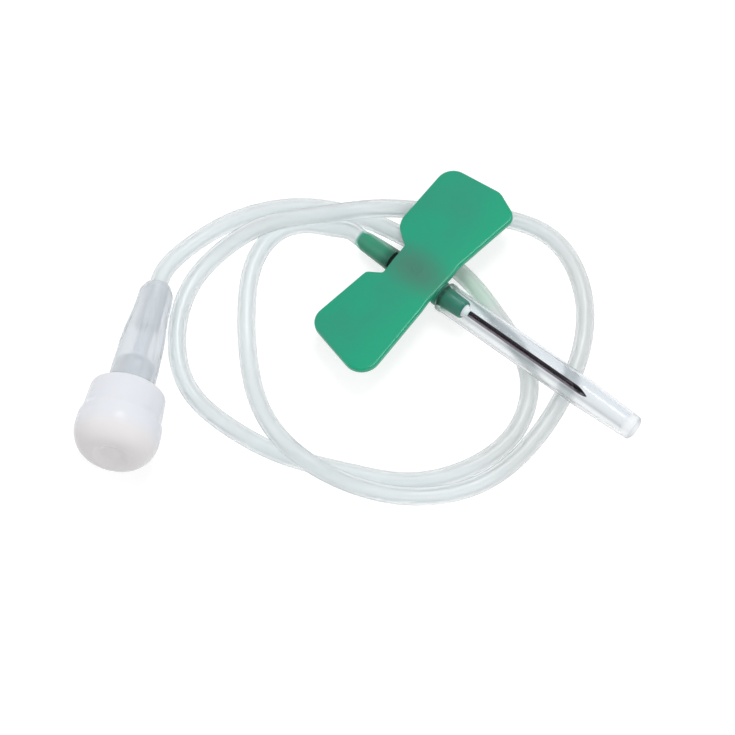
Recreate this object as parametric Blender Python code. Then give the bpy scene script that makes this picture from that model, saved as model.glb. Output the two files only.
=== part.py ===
"""Winged infusion set lying on a table.

Green wings carry a steel needle in a clear sheath. One length of soft tubing runs from the rear of
the hub, in two loose loops, to a female luer connector that is closed by a white cap.
Lengths are in metres. The needle points along +X, the wings reach along Y and +Z is up.
"""
import math

import bmesh
import bpy
import numpy as np
from mathutils import Matrix, Vector

MM = 0.001

# Clearances
FACE_GAP = 0.3 * MM
FIT_GAP = 0.1 * MM
SLIDE_GAP = 0.2 * MM
LIE_GAP = 0.05 * MM

# Needle
NEEDLE_OD = 0.8 * MM
NEEDLE_BORE = 0.52 * MM
NEEDLE_EXPOSED = 20.0 * MM
NEEDLE_SEATED = 8.5 * MM
BEVEL_ANGLE = math.radians(14.0)
LANCET_ANGLE = math.radians(20.0)
LANCET_TURN = math.radians(32.0)
LANCET_LENGTH = 1.1 * MM

# Barrel of the hub, along its axis from the end of the stub
STUB_LENGTH = 5.6 * MM
WAIST_LENGTH = 7.6 * MM
NOSE_LENGTH = 3.9 * MM
STUB_END_OD = 1.7 * MM
STUB_ROOT_OD = 2.5 * MM
STUB_CHAMFER = 0.5 * MM
BARREL_OD = 2.8 * MM
BARREL_SET_BACK = 0.5 * MM
COLLAR_OD = 3.3 * MM
COLLAR_LENGTH = 0.8 * MM
COLLAR_SHOWING = 0.2 * MM
NOSE_SEAT_LENGTH = 0.9 * MM
NOSE_OD = 2.6 * MM
NOSE_END_OD = 2.4 * MM
FLUID_BORE = 0.7 * MM
WELL_OD = 1.8 * MM
WELL_DEPTH = 0.6 * MM
BEAD_RISE = 0.25 * MM

# Wing plate, seen from above
PLATE_THICKNESS = 0.95 * MM
PLATE_SINK = 0.65 * MM
PLATE_EDGE_ROUND = 0.3 * MM
WING_ROOT = 3.9 * MM
WAIST_HALF_WIDTH = 2.3 * MM
NOTCH_ROUND = 0.5 * MM
SHOULDER_ROUND = 1.1 * MM
REAR_CORNER_ROUND = 2.3 * MM
WIDE_WING_REACH = 15.28 * MM
WIDE_WING_STEP = 2.75 * MM
WIDE_WING_FRONT = -0.15 * MM
WIDE_WING_REAR_FLARE = math.radians(2.3)
WIDE_WING_FRONT_FLARE = math.radians(5.6)
WIDE_WING_SLANT = math.radians(6.5)
WIDE_WING_ROUND = 3.8 * MM
WIDE_NOTCH = (0.05 * MM, 2.0 * MM)
WIDE_SHOULDER_ROUND = 2.8 * MM
NARROW_WING_REACH = 15.6 * MM
NARROW_WING_STEP = 1.33 * MM
NARROW_WING_FRONT = 0.2 * MM
NARROW_WING_REAR_FLARE = math.radians(6.4)
NARROW_WING_FRONT_FLARE = math.radians(3.6)
NARROW_WING_SLANT = math.radians(13.0)
NARROW_WING_ROUND = 2.5 * MM
NARROW_NOTCH = (0.45 * MM, 2.75 * MM)
NARROW_SHOULDER_ROUND = 0.8 * MM

# Needle sheath
SHEATH_OD = 3.76 * MM
SHEATH_WALL = 0.28 * MM
SHEATH_END_OD = 3.1 * MM
SHEATH_TAPER = 8.0 * MM
SHEATH_END_ROUND = 0.55 * MM
SHEATH_END_WALL = 1.1 * MM
SHEATH_TIP_SPACE = 5.9 * MM
SHEATH_RIM = 0.1 * MM
SHEATH_RIM_LENGTH = 0.6 * MM

# Tubing
TUBE_OD = 2.3 * MM
TUBE_LEAD = 1.5 * MM
TUBE_POINTS = 78

# Luer connector, along its axis from the mouth of its tube socket
SOCKET_DEPTH = 7.0 * MM
CONNECTOR_LENGTH = 19.85 * MM
CONNECTOR_REAR_OD = 4.3 * MM
CONNECTOR_SLEEVE_OD = 4.6 * MM
CONNECTOR_SLEEVE_END = 4.5 * MM
CONNECTOR_NECK_OD = 5.55 * MM
CONNECTOR_NECK_END = 9.5 * MM
CONNECTOR_REAR_CHAMFER = 1.0 * MM
CONNECTOR_REAR_LIFT = 0.13 * MM
LUER_BODY_OD = 5.85 * MM
LUER_BODY_START = 12.4 * MM
CONNECTOR_BORE = 1.5 * MM
LUER_BORE = 4.3 * MM
LUER_DEPTH = 8.0 * MM
LUER_TAPER = 0.06
RIB_COUNT = 6
RIB_START = 2.0 * MM
RIB_MIDDLE = 7.5 * MM
RIB_HEIGHT = 0.2 * MM
RIB_NECK_HEIGHT = 0.15 * MM
RIB_THICKNESS = 0.7 * MM
EAR_OD = 7.8 * MM
EAR_LENGTH = 1.4 * MM
EAR_WIDTH = 3.4 * MM
EAR_SET_BACK = 0.2 * MM

# Luer cap, measured on the same axis
CAP_LENGTH = 9.4 * MM
CAP_RIM_OD = 9.5 * MM
CAP_RIM_LENGTH = 3.5 * MM
CAP_FLARE_LENGTH = 0.9 * MM
CAP_SHOULDER_OD = 10.6 * MM
CAP_DOME_OD = 10.7 * MM
CAP_DOME_LENGTH = 3.6 * MM
CAP_END_OD = 5.2 * MM
CAP_END_WALL = 2.0 * MM
CAP_RIM_CHAMFER = 0.2 * MM
CAP_OVERLAP = 3.45 * MM
CAP_PLUG_REACH = 3.2 * MM
CAP_PLUG_CHAMFER = 0.25 * MM
CAP_RECESS_OD = 4.6 * MM
CAP_RECESS_FLOOR_OD = 2.6 * MM
CAP_RECESS_DEPTH = 0.5 * MM

# Places: the frame's origin is the middle of the box round the hub, needle and sheath
TABLE_X = 0.05 * MM
TABLE_Y = 0.168 * MM
TABLE_Z = -4.441 * MM
STUB_END_X = -22.0 * MM
HUB_PITCH = math.radians(6.0)
SHEATH_CROSSING_X = 4.1 * MM
CONNECTOR_MOUTH_X = -36.845 * MM
CONNECTOR_MOUTH_Y = -21.973 * MM
CONNECTOR_AZIMUTH = math.radians(-60.8)

# Route of the tubing from hub to connector: x and y in millimetres, and the share of one tube
# thickness by which it is lifted where it rides over another stretch
TUBE_ROUTE = [
    (-25.6, -0.8, 0.05), (-28.4, -2.4, 0.0), (-30.6, -5.2, 0.0), (-30.87, -9.2, 0.0),
    (-27.46, -15.78, 0.0), (-21.95, -21.76, 0.05), (-15.6, -26.4, 0.5), (-8.0, -28.4, 1.0),
    (-0.37, -26.74, 0.68), (6.42, -22.51, 0.38), (11.01, -15.86, 0.14), (12.17, -7.99, 0.0),
    (11.1, -0.22, 0.0), (8.2, 7.3, 0.0), (3.07, 13.19, 0.0), (-4.2, 15.9, 0.0),
    (-11.7, 13.3, 0.0), (-18.35, 8.86, -0.1), (-22.8, 3.7, 0.93), (-27.23, -1.27, 1.0),
    (-31.6, -6.6, 0.95), (-34.36, -12.38, 0.15), (-34.32, -18.35, 0.0), (-31.15, -24.83, 0.0),
    (-25.0, -29.6, 0.0), (-17.59, -30.27, 0.0), (-9.8, -28.7, 0.0), (-2.83, -25.52, 0.0),
    (3.7, -21.7, 0.0), (8.38, -15.39, 0.0), (9.59, -7.39, 0.0), (5.8, -0.6, 0.0),
    (-1.4, 2.7, 0.0), (-9.1, 4.6, 0.0), (-17.0, 4.1, 0.0), (-24.76, 2.24, 0.0),
    (-31.49, -1.82, 0.0), (-36.18, -8.37, 0.0), (-37.95, -15.04, 0.1),
]

ROUND_STEPS = 40
ARC_STEPS = 6


# Scene helpers
def clear_scene():
    """Remove every object that the file opened with."""
    for old in list(bpy.data.objects):
        bpy.data.objects.remove(old, do_unlink=True)


def make_material(name, colour, roughness, metallic=0.0, transmission=0.0):
    """Return a Principled material of one colour."""
    material = bpy.data.materials.new(name)
    material.use_nodes = True
    shader = material.node_tree.nodes["Principled BSDF"]
    shader.inputs["Base Color"].default_value = (*colour, 1.0)
    shader.inputs["Roughness"].default_value = roughness
    shader.inputs["Metallic"].default_value = metallic
    shader.inputs["Transmission Weight"].default_value = transmission
    material.diffuse_color = (*colour, 1.0)
    return material


def add_empty(name, location, rotation=None, parent=None):
    """Place an empty that carries pieces; rotation is a 3 by 3 matrix."""
    empty = bpy.data.objects.new(name, None)
    bpy.context.scene.collection.objects.link(empty)
    turn = (rotation or Matrix.Identity(3)).to_4x4()
    empty.matrix_local = Matrix.Translation(location) @ turn
    empty.parent = parent
    return empty


def add_mesh(name, mesh_data, parent, material=None):
    """Link a mesh object under its frame and shade its round faces smooth."""
    mesh = bpy.data.meshes.new(name)
    mesh_data.to_mesh(mesh)
    mesh_data.free()
    mesh.shade_smooth()
    mesh.set_sharp_from_angle(angle=math.radians(35.0))
    piece = bpy.data.objects.new(name, mesh)
    bpy.context.scene.collection.objects.link(piece)
    piece.parent = parent
    if material:
        mesh.materials.append(material)
    return piece


def hide_tool(piece):
    """Keep a cutter or a joined form out of the finished model."""
    piece.hide_render = True
    piece.display_type = "WIRE"
    return piece


def combine(piece, tool, operation):
    """Join a tool to a piece, or cut it out, with an exact Boolean."""
    step = piece.modifiers.new(tool.name, "BOOLEAN")
    step.operation = operation
    step.solver = "EXACT"
    step.object = hide_tool(tool)


# Shape helpers
def turned(outline, steps=ROUND_STEPS):
    """Spin an outline of (along, radius) points round the X axis into a closed body.

    The outline is a closed ring when it stays off the axis, and otherwise starts and ends on it.
    """
    body = bmesh.new()
    corners = [body.verts.new((along, 0.0, radius)) for along, radius in outline]
    edges = [body.edges.new(pair) for pair in zip(corners, corners[1:])]
    if outline[0][1] > 0.0 or outline[-1][1] > 0.0:
        edges.append(body.edges.new((corners[-1], corners[0])))
    bmesh.ops.spin(body, geom=corners + edges, cent=(0, 0, 0), axis=(1, 0, 0),
                   angle=2.0 * math.pi, steps=steps, use_merge=True)
    bmesh.ops.remove_doubles(body, verts=body.verts, dist=1e-7)
    bmesh.ops.recalc_face_normals(body, faces=body.faces)
    return body


def arc(centre, radius, start, end, steps=ARC_STEPS):
    """Points of a circular arc between two angles in degrees, both ends included."""
    angles = np.radians(np.linspace(start, end, steps + 1))
    return [(centre[0] + radius * math.cos(a), centre[1] + radius * math.sin(a)) for a in angles]


def rounded(corners, steps=ARC_STEPS):
    """Return a closed outline whose corners (x, y, radius) are arcs tangent to both sides."""
    outline = []
    count = len(corners)
    for index, (x, y, radius) in enumerate(corners):
        corner = Vector((x, y))
        before = Vector(corners[index - 1][:2]) - corner
        after = Vector(corners[(index + 1) % count][:2]) - corner
        half = before.angle(after) / 2.0
        room = 0.48 * min(before.length, after.length)
        setback = min(radius / math.tan(half), room)
        radius = setback * math.tan(half)
        centre = corner + (before.normalized() + after.normalized()).normalized() * (radius / math.sin(half))
        first = corner + before.normalized() * setback - centre
        last = corner + after.normalized() * setback - centre
        swing = first.angle_signed(last)
        for step in range(steps + 1):
            spoke = first.copy()
            spoke.rotate(Matrix.Rotation(-swing * step / steps, 2))
            outline.append(tuple(centre + spoke))
    return outline


def prism(outline, low, high):
    """Extrude a closed outline in the XY plane from one height to another."""
    body = bmesh.new()
    base = body.faces.new([body.verts.new((x, y, low)) for x, y in outline])
    grown = bmesh.ops.extrude_face_region(body, geom=[base])
    top = [item for item in grown["geom"] if isinstance(item, bmesh.types.BMVert)]
    bmesh.ops.translate(body, verts=top, vec=(0.0, 0.0, high - low))
    bmesh.ops.recalc_face_normals(body, faces=body.faces)
    return body


def block(low, high):
    """A box between two corners."""
    body = bmesh.new()
    bmesh.ops.create_cube(body, size=1.0)
    size = Vector(high) - Vector(low)
    middle = (Vector(high) + Vector(low)) / 2.0
    placed = Matrix.Translation(middle) @ Matrix.Diagonal((*size, 1.0))
    bmesh.ops.transform(body, verts=body.verts, matrix=placed)
    return body


def smooth_curve(points, count):
    """Read evenly spaced points from the natural cubic spline through the given points.

    Within one span of length h, with second derivatives m0 and m1 at its ends and d the distance
    into it, p(d) = p0 + d ((p1 - p0) / h - h (2 m0 + m1) / 6) + d^2 m0 / 2 + d^3 (m1 - m0) / 6 h.
    """
    knots = np.array(points, dtype=float)
    total = len(knots)
    spans = np.linalg.norm(np.diff(knots, axis=0), axis=1)
    at = np.concatenate(([0.0], np.cumsum(spans)))
    slopes = np.diff(knots, axis=0) / spans[:, None]
    system = np.eye(total)
    target = np.zeros_like(knots)
    for i in range(1, total - 1):
        system[i, i - 1:i + 2] = spans[i - 1], 2.0 * (spans[i - 1] + spans[i]), spans[i]
        target[i] = 6.0 * (slopes[i] - slopes[i - 1])
    bend = np.linalg.solve(system, target)
    where = np.linspace(0.0, at[-1], total * 24)
    span = np.clip(np.searchsorted(at, where, side="right") - 1, 0, total - 2)
    d = (where - at[span])[:, None]
    h = spans[span][:, None]
    m0, m1 = bend[span], bend[span + 1]
    fine = knots[span] + d * (slopes[span] - h * (2.0 * m0 + m1) / 6.0) + d ** 2 * m0 / 2.0
    fine += d ** 3 * (m1 - m0) / (6.0 * h)
    run = np.concatenate(([0.0], np.cumsum(np.linalg.norm(np.diff(fine, axis=0), axis=1))))
    even = np.linspace(0.0, run[-1], count)
    return np.column_stack([np.interp(even, run, fine[:, axis]) for axis in range(3)])


# Stations along the hub's axis, from the end of the stub
WAIST_REAR = STUB_LENGTH
WAIST_FRONT = WAIST_REAR + WAIST_LENGTH
NOSE_FACE = WAIST_FRONT + NOSE_LENGTH
NEEDLE_TIP = NOSE_FACE + NEEDLE_EXPOSED
SHEATH_MOUTH = WAIST_FRONT + COLLAR_SHOWING + FACE_GAP
SHEATH_END = NEEDLE_TIP + SHEATH_TIP_SPACE + SHEATH_END_WALL
SEAT_BORE = NEEDLE_OD + 2.0 * FIT_GAP


def hub_height():
    """Height of the stub's end above the table, so that the sheath clears the tubing under it."""
    strand_top = TUBE_OD + LIE_GAP
    rise = (SHEATH_CROSSING_X - STUB_END_X) * math.tan(HUB_PITCH)
    return strand_top + FACE_GAP + SHEATH_OD / 2.0 / math.cos(HUB_PITCH) - rise


def connector_pose():
    """Tilt and height of the connector: its tube holds its rear up and the cap lies on the table."""
    rear = (CONNECTOR_REAR_CHAMFER, CONNECTOR_REAR_OD / 2.0 + CONNECTOR_REAR_LIFT)
    edges = [(cap_rim() + CAP_RIM_CHAMFER, CAP_RIM_OD / 2.0),
             (cap_rim() + CAP_RIM_LENGTH + CAP_FLARE_LENGTH, CAP_SHOULDER_OD / 2.0),
             (cap_end() - CAP_DOME_LENGTH, CAP_DOME_OD / 2.0)]
    tilt = max(math.atan2(radius - rear[1], along - rear[0]) for along, radius in edges)
    height = rear[1] * math.cos(tilt) - rear[0] * math.sin(tilt) + LIE_GAP
    return tilt, height


def cap_rim():
    """Station of the cap's open rim on the connector's axis."""
    return CONNECTOR_LENGTH - CAP_OVERLAP


def cap_end():
    """Station of the cap's closed end on the connector's axis."""
    return cap_rim() + CAP_LENGTH


# Wing hub
def wing_corners(side, reach, step, front, rear_flare, front_flare, slant, tip_round, notch, shoulder_round):
    """Corners of one wing from the waist's rear round to the waist's front.

    The tip's front corner is where the front edge meets the slanted end. The arc in it has its centre
    one radius inside both, and it is the furthest point of the wing at the given reach.
    """
    rear_root = WAIST_REAR - step
    front_root = WAIST_FRONT + front
    rear_slope, front_slope, lean = math.tan(rear_flare), math.tan(front_flare), math.tan(slant)
    centre_reach = reach - tip_round
    centre = front_root + front_slope * (centre_reach - WING_ROOT) - tip_round / math.cos(front_flare)
    end_at_zero = centre_reach + tip_round / math.cos(slant) - lean * centre
    front_tip = front_root + front_slope * (end_at_zero - WING_ROOT)
    front_tip /= 1.0 - front_slope * lean
    rear_tip = rear_root - rear_slope * (end_at_zero - WING_ROOT)
    rear_tip /= 1.0 + rear_slope * lean
    return [
        (WAIST_REAR + notch[0], side * notch[1], NOTCH_ROUND),
        (rear_root, side * WING_ROOT, shoulder_round),
        (rear_tip, side * (end_at_zero + lean * rear_tip), REAR_CORNER_ROUND),
        (front_tip, side * (end_at_zero + lean * front_tip), tip_round),
        (front_root, side * WING_ROOT, SHOULDER_ROUND),
        (WAIST_FRONT, side * WAIST_HALF_WIDTH, SHOULDER_ROUND),
    ]


def make_wing_hub(frame, material):
    """Wings, barrel, stub and nose, moulded in one."""
    wide = wing_corners(1.0, WIDE_WING_REACH, WIDE_WING_STEP, WIDE_WING_FRONT, WIDE_WING_REAR_FLARE,
                        WIDE_WING_FRONT_FLARE, WIDE_WING_SLANT, WIDE_WING_ROUND, WIDE_NOTCH,
                        WIDE_SHOULDER_ROUND)
    narrow = wing_corners(-1.0, NARROW_WING_REACH, NARROW_WING_STEP, NARROW_WING_FRONT,
                          NARROW_WING_REAR_FLARE, NARROW_WING_FRONT_FLARE, NARROW_WING_SLANT,
                          NARROW_WING_ROUND, NARROW_NOTCH, NARROW_SHOULDER_ROUND)
    outline = rounded(wide + narrow[::-1])
    bottom = BARREL_OD / 2.0 - PLATE_SINK
    hub = add_mesh("wing_hub", prism(outline, bottom, bottom + PLATE_THICKNESS), frame, material)
    edge = hub.modifiers.new("edge", "BEVEL")
    edge.width = PLATE_EDGE_ROUND
    edge.segments = 3
    edge.limit_method = "ANGLE"
    edge.angle_limit = math.radians(60.0)

    barrel = BARREL_OD / 2.0
    collar = COLLAR_OD / 2.0
    collar_front = WAIST_FRONT + COLLAR_SHOWING
    profile = [
        (0.0, 0.0),
        (0.0, STUB_END_OD / 2.0 - STUB_CHAMFER / 2.0),
        (STUB_CHAMFER, STUB_END_OD / 2.0),
        (WAIST_REAR, STUB_ROOT_OD / 2.0),
        (WAIST_REAR + BARREL_SET_BACK, barrel),
        (collar_front - COLLAR_LENGTH, barrel),
        (collar_front - COLLAR_LENGTH * 0.8, collar),
        (collar_front, collar),
        (collar_front, barrel),
        (collar_front + NOSE_SEAT_LENGTH, barrel),
        (collar_front + NOSE_SEAT_LENGTH + STUB_CHAMFER, NOSE_OD / 2.0),
        (NOSE_FACE - STUB_CHAMFER / 2.0, NOSE_END_OD / 2.0),
        (NOSE_FACE, NOSE_END_OD / 2.0 - STUB_CHAMFER / 4.0),
        (NOSE_FACE, 0.0),
    ]
    combine(hub, add_mesh("barrel_form", turned(profile), frame), "UNION")

    overrun = FACE_GAP
    seat = SEAT_BORE / 2.0
    fluid = FLUID_BORE / 2.0
    seat_rear = NOSE_FACE - NEEDLE_SEATED - FIT_GAP
    bore = [
        (-overrun, 0.0), (-overrun, fluid), (seat_rear, fluid), (seat_rear, seat),
        (NOSE_FACE - WELL_DEPTH, seat), (NOSE_FACE - WELL_DEPTH, WELL_OD / 2.0),
        (NOSE_FACE + overrun, WELL_OD / 2.0), (NOSE_FACE + overrun, 0.0),
    ]
    combine(hub, add_mesh("bore_cutter", turned(bore, 24), frame), "DIFFERENCE")
    return hub


def make_cannula(frame, material):
    """Steel needle with a long bevel that faces up and two shorter lancet facets at its point."""
    outer, inner = NEEDLE_OD / 2.0, NEEDLE_BORE / 2.0
    rear = NOSE_FACE - NEEDLE_SEATED
    ring = [(rear, inner), (rear, outer), (NEEDLE_TIP, outer), (NEEDLE_TIP, inner)]
    needle = add_mesh("needle_cannula", turned(ring, 24), frame, material)
    reach = 10.0 * NEEDLE_OD
    grinds = [("long_bevel", BEVEL_ANGLE, 0.0, 0.0)]
    grinds += [(f"lancet_{name}", LANCET_ANGLE, turn, LANCET_LENGTH)
               for name, turn in (("left", LANCET_TURN), ("right", -LANCET_TURN))]
    for name, angle, turn, start in grinds:
        wheel = block((-reach, -reach, 0.0), (reach, reach, reach))
        lift = -outer
        if start:
            lift = -outer + start * math.tan(BEVEL_ANGLE)
        tilt = Matrix.Rotation(angle, 4, "Y")
        at = Matrix.Translation((NEEDLE_TIP - start, 0.0, lift))
        around = Matrix.Rotation(turn, 4, "X")
        bmesh.ops.transform(wheel, verts=wheel.verts, matrix=around @ at @ tilt)
        combine(needle, add_mesh(name, wheel, frame), "DIFFERENCE")
    return needle


def make_adhesive(frame, material):
    """Bead of glue in the well of the nose, domed round the needle."""
    inner = NEEDLE_OD / 2.0 + FIT_GAP / 2.0
    outer = WELL_OD / 2.0 - FIT_GAP
    floor = NOSE_FACE - WELL_DEPTH + FIT_GAP
    ring = [
        (floor, inner), (floor, outer), (NOSE_FACE, outer),
        (NOSE_FACE + BEAD_RISE * 0.6, inner + 0.6 * (outer - inner)),
        (NOSE_FACE + BEAD_RISE, inner + 0.2 * (outer - inner)), (NOSE_FACE + BEAD_RISE, inner),
    ]
    return add_mesh("needle_adhesive", turned(ring, 24), frame, material)


def make_sheath(frame, material):
    """Clear tube over the needle with a rimmed mouth and a closed, rounded end.

    Its origin is at its mouth, on the line that it slides along.
    """
    slide = add_empty("sheath_slide", (SHEATH_MOUTH, 0.0, 0.0), parent=frame)
    length = SHEATH_END - SHEATH_MOUTH
    outer, end = SHEATH_OD / 2.0, SHEATH_END_OD / 2.0
    taper_start = length - SHEATH_TAPER
    inner_end = length - SHEATH_END_WALL
    outline = [(0.0, outer + SHEATH_RIM), (SHEATH_RIM_LENGTH, outer + SHEATH_RIM),
               (SHEATH_RIM_LENGTH + SHEATH_RIM, outer), (taper_start, outer)]
    outline += arc((length - SHEATH_END_ROUND, end - SHEATH_END_ROUND), SHEATH_END_ROUND, 90.0, 0.0)
    outline += [(length, 0.0), (inner_end, 0.0)]
    bottom = (inner_end - SHEATH_END_ROUND, end - SHEATH_WALL - SHEATH_END_ROUND)
    outline += arc(bottom, SHEATH_END_ROUND, 0.0, 90.0)
    outline += [(taper_start, outer - SHEATH_WALL), (0.0, outer - SHEATH_WALL)]
    start = outline.index((length, 0.0))
    loop = outline[start + 1:] + outline[:start + 1]
    return add_mesh("needle_sheath", turned(loop), slide, material)


# Tubing
def make_tubing(table, hub_end, hub_axis, mouth, connector_axis, material):
    """Soft tube from the stub's end face to the floor of the connector's socket."""
    lie = TUBE_OD / 2.0 + LIE_GAP
    layer = TUBE_OD + FACE_GAP
    start = hub_end - hub_axis * FACE_GAP
    points = [start, start - hub_axis * TUBE_LEAD]
    points += [Vector((x * MM, y * MM, lie + lift * layer)) for x, y, lift in TUBE_ROUTE]
    points += [mouth - connector_axis * TUBE_LEAD, mouth,
               mouth + connector_axis * (SOCKET_DEPTH / 2.0),
               mouth + connector_axis * (SOCKET_DEPTH - FACE_GAP)]
    route = smooth_curve(points, TUBE_POINTS)
    route[:, 2] = np.maximum(route[:, 2], lie)

    curve = bpy.data.curves.new("tubing", "CURVE")
    curve.dimensions = "3D"
    curve.bevel_depth = TUBE_OD / 2.0
    curve.bevel_resolution = 2
    curve.use_fill_caps = True
    spline = curve.splines.new("POLY")
    spline.points.add(len(route) - 1)
    spline.points.foreach_set("co", np.column_stack([route, np.ones(len(route))]).ravel())
    curve.materials.append(material)
    tube = bpy.data.objects.new("tubing", curve)
    bpy.context.scene.collection.objects.link(tube)
    tube.parent = table
    return tube


# Luer connector and cap
def luer_radius(station):
    """Radius of the female cone, widest at its mouth."""
    return LUER_BORE / 2.0 - LUER_TAPER / 2.0 * (CONNECTOR_LENGTH - station)


def make_rib(index, frame):
    """One long low rib that rises out of the rear and runs out into the luer's body."""
    rear, neck, body = CONNECTOR_REAR_OD / 2.0, CONNECTOR_NECK_OD / 2.0, LUER_BODY_OD / 2.0
    sleeve = CONNECTOR_SLEEVE_OD / 2.0
    inside = rear - RIB_THICKNESS / 2.0
    widening = (RIB_MIDDLE - CONNECTOR_SLEEVE_END) / (CONNECTOR_NECK_END - CONNECTOR_SLEEVE_END)
    middle = sleeve + (neck - sleeve) * widening
    side = [
        (RIB_START, inside), (LUER_BODY_START, inside), (LUER_BODY_START, body - RIB_HEIGHT / 2.0),
        (CONNECTOR_NECK_END, neck + RIB_NECK_HEIGHT), (RIB_MIDDLE, middle + RIB_HEIGHT),
        (RIB_START, rear),
    ]
    form = prism(side, -RIB_THICKNESS / 2.0, RIB_THICKNESS / 2.0)
    turn = Matrix.Rotation(2.0 * math.pi * index / RIB_COUNT, 4, "X")
    bmesh.ops.transform(form, verts=form.verts, matrix=turn)
    return add_mesh(f"rib_form_{index}", form, frame)


def make_connector(frame, material):
    """Female luer with a tube socket, long ribs and two locking ears."""
    rear, neck, body = CONNECTOR_REAR_OD / 2.0, CONNECTOR_NECK_OD / 2.0, LUER_BODY_OD / 2.0
    profile = [
        (0.0, 0.0), (0.0, rear - CONNECTOR_REAR_CHAMFER / 2.0), (CONNECTOR_REAR_CHAMFER, rear),
        (CONNECTOR_SLEEVE_END, CONNECTOR_SLEEVE_OD / 2.0), (CONNECTOR_NECK_END, neck),
        (LUER_BODY_START, body), (CONNECTOR_LENGTH, body), (CONNECTOR_LENGTH, 0.0),
    ]
    connector = add_mesh("luer_connector", turned(profile), frame, material)
    for index in range(RIB_COUNT):
        combine(connector, make_rib(index, frame), "UNION")

    ear_end = CONNECTOR_LENGTH - EAR_SET_BACK
    disc = [(ear_end - EAR_LENGTH, 0.0), (ear_end - EAR_LENGTH, EAR_OD / 2.0),
            (ear_end, EAR_OD / 2.0), (ear_end, 0.0)]
    ears = add_mesh("ear_form", turned(disc), frame)
    span = block((0.0, -EAR_OD, -EAR_WIDTH / 2.0), (CONNECTOR_LENGTH, EAR_OD, EAR_WIDTH / 2.0))
    combine(ears, add_mesh("ear_span", span, frame), "INTERSECT")
    combine(connector, ears, "UNION")

    overrun = FACE_GAP
    cone_end = CONNECTOR_LENGTH - LUER_DEPTH
    socket = TUBE_OD / 2.0 + SLIDE_GAP
    bore = [
        (-overrun, 0.0), (-overrun, socket), (SOCKET_DEPTH, socket), (SOCKET_DEPTH, CONNECTOR_BORE / 2.0),
        (cone_end, CONNECTOR_BORE / 2.0), (cone_end, luer_radius(cone_end)),
        (CONNECTOR_LENGTH + overrun, luer_radius(CONNECTOR_LENGTH + overrun)),
        (CONNECTOR_LENGTH + overrun, 0.0),
    ]
    combine(connector, add_mesh("luer_cutter", turned(bore), frame), "DIFFERENCE")
    return connector


def make_cap(frame, material):
    """Domed cap with a skirt round the ears, a plug in the luer and a shallow dish in its end.

    Its origin is at its rim, on the line that it pulls off along.
    """
    rim = cap_rim()
    pull = add_empty("cap_pull", (rim, 0.0, 0.0), parent=frame)
    skirt = EAR_OD / 2.0 + SLIDE_GAP
    floor = CAP_LENGTH - CAP_END_WALL
    plug_end = CAP_OVERLAP - CAP_PLUG_REACH
    plug_root = luer_radius(CONNECTOR_LENGTH) - FIT_GAP
    plug_tip = luer_radius(rim + plug_end) - FIT_GAP
    outline = [
        (CAP_LENGTH - CAP_RECESS_DEPTH, 0.0),
        (CAP_LENGTH - CAP_RECESS_DEPTH, CAP_RECESS_FLOOR_OD / 2.0),
        (CAP_LENGTH, CAP_RECESS_OD / 2.0),
    ]
    drop = (CAP_DOME_OD - CAP_END_OD) / 2.0
    for swing in np.radians(np.linspace(90.0, 0.0, 2 * ARC_STEPS + 1)):
        outline.append((CAP_LENGTH - CAP_DOME_LENGTH * (1.0 - math.sin(swing)),
                        CAP_DOME_OD / 2.0 - drop * (1.0 - math.cos(swing))))
    outline += [
        (CAP_RIM_LENGTH + CAP_FLARE_LENGTH, CAP_SHOULDER_OD / 2.0), (CAP_RIM_LENGTH, CAP_RIM_OD / 2.0),
        (CAP_RIM_CHAMFER, CAP_RIM_OD / 2.0), (0.0, CAP_RIM_OD / 2.0 - CAP_RIM_CHAMFER),
        (0.0, skirt), (floor, skirt), (floor, plug_root), (CAP_OVERLAP, plug_root),
        (plug_end + CAP_PLUG_CHAMFER, plug_tip), (plug_end, plug_tip - CAP_PLUG_CHAMFER), (plug_end, 0.0),
    ]
    return add_mesh("luer_cap", turned(outline), pull, material)


def build():
    """Make every piece in its place."""
    clear_scene()
    green = make_material("green_plastic", (0.02, 0.42, 0.22), 0.35)
    steel = make_material("needle_steel", (0.55, 0.55, 0.56), 0.2, metallic=1.0)
    glue = make_material("clear_glue", (0.85, 0.88, 0.84), 0.2, transmission=0.5)
    clear = make_material("clear_sheath", (0.86, 0.87, 0.9), 0.12, transmission=0.8)
    soft = make_material("clear_tube", (0.8, 0.84, 0.83), 0.2, transmission=0.7)
    luer = make_material("clear_luer", (0.84, 0.86, 0.88), 0.15, transmission=0.7)
    white = make_material("white_cap", (0.82, 0.81, 0.84), 0.4)

    table = add_empty("table_frame", (TABLE_X, TABLE_Y, TABLE_Z))
    hub_end = Vector((STUB_END_X, 0.0, hub_height()))
    hub_turn = Matrix.Rotation(-HUB_PITCH, 3, "Y")
    hub = add_empty("hub_frame", hub_end, hub_turn, table)
    tilt, height = connector_pose()
    mouth = Vector((CONNECTOR_MOUTH_X, CONNECTOR_MOUTH_Y, height))
    luer_turn = Matrix.Rotation(CONNECTOR_AZIMUTH, 3, "Z") @ Matrix.Rotation(-tilt, 3, "Y")
    connector = add_empty("connector_frame", mouth, luer_turn, table)

    make_wing_hub(hub, green)
    make_cannula(hub, steel)
    make_adhesive(hub, glue)
    make_sheath(hub, clear)
    make_tubing(table, hub_end, hub_turn.col[0], mouth, luer_turn.col[0], soft)
    make_connector(connector, luer)
    make_cap(connector, white)


build()
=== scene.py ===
"""Winged infusion set on a white table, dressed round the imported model.

Green wings, a steel needle under a clear sheath, one soft clear tube in loose loops and a clear
luer connector with a milky cap. Lengths are in metres; +X runs along the needle and +Z is up.
"""
import logging
import math
from dataclasses import dataclass, field
from enum import Enum

import bmesh
import bpy
import numpy as np
from mathutils import Matrix, Vector


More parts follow.
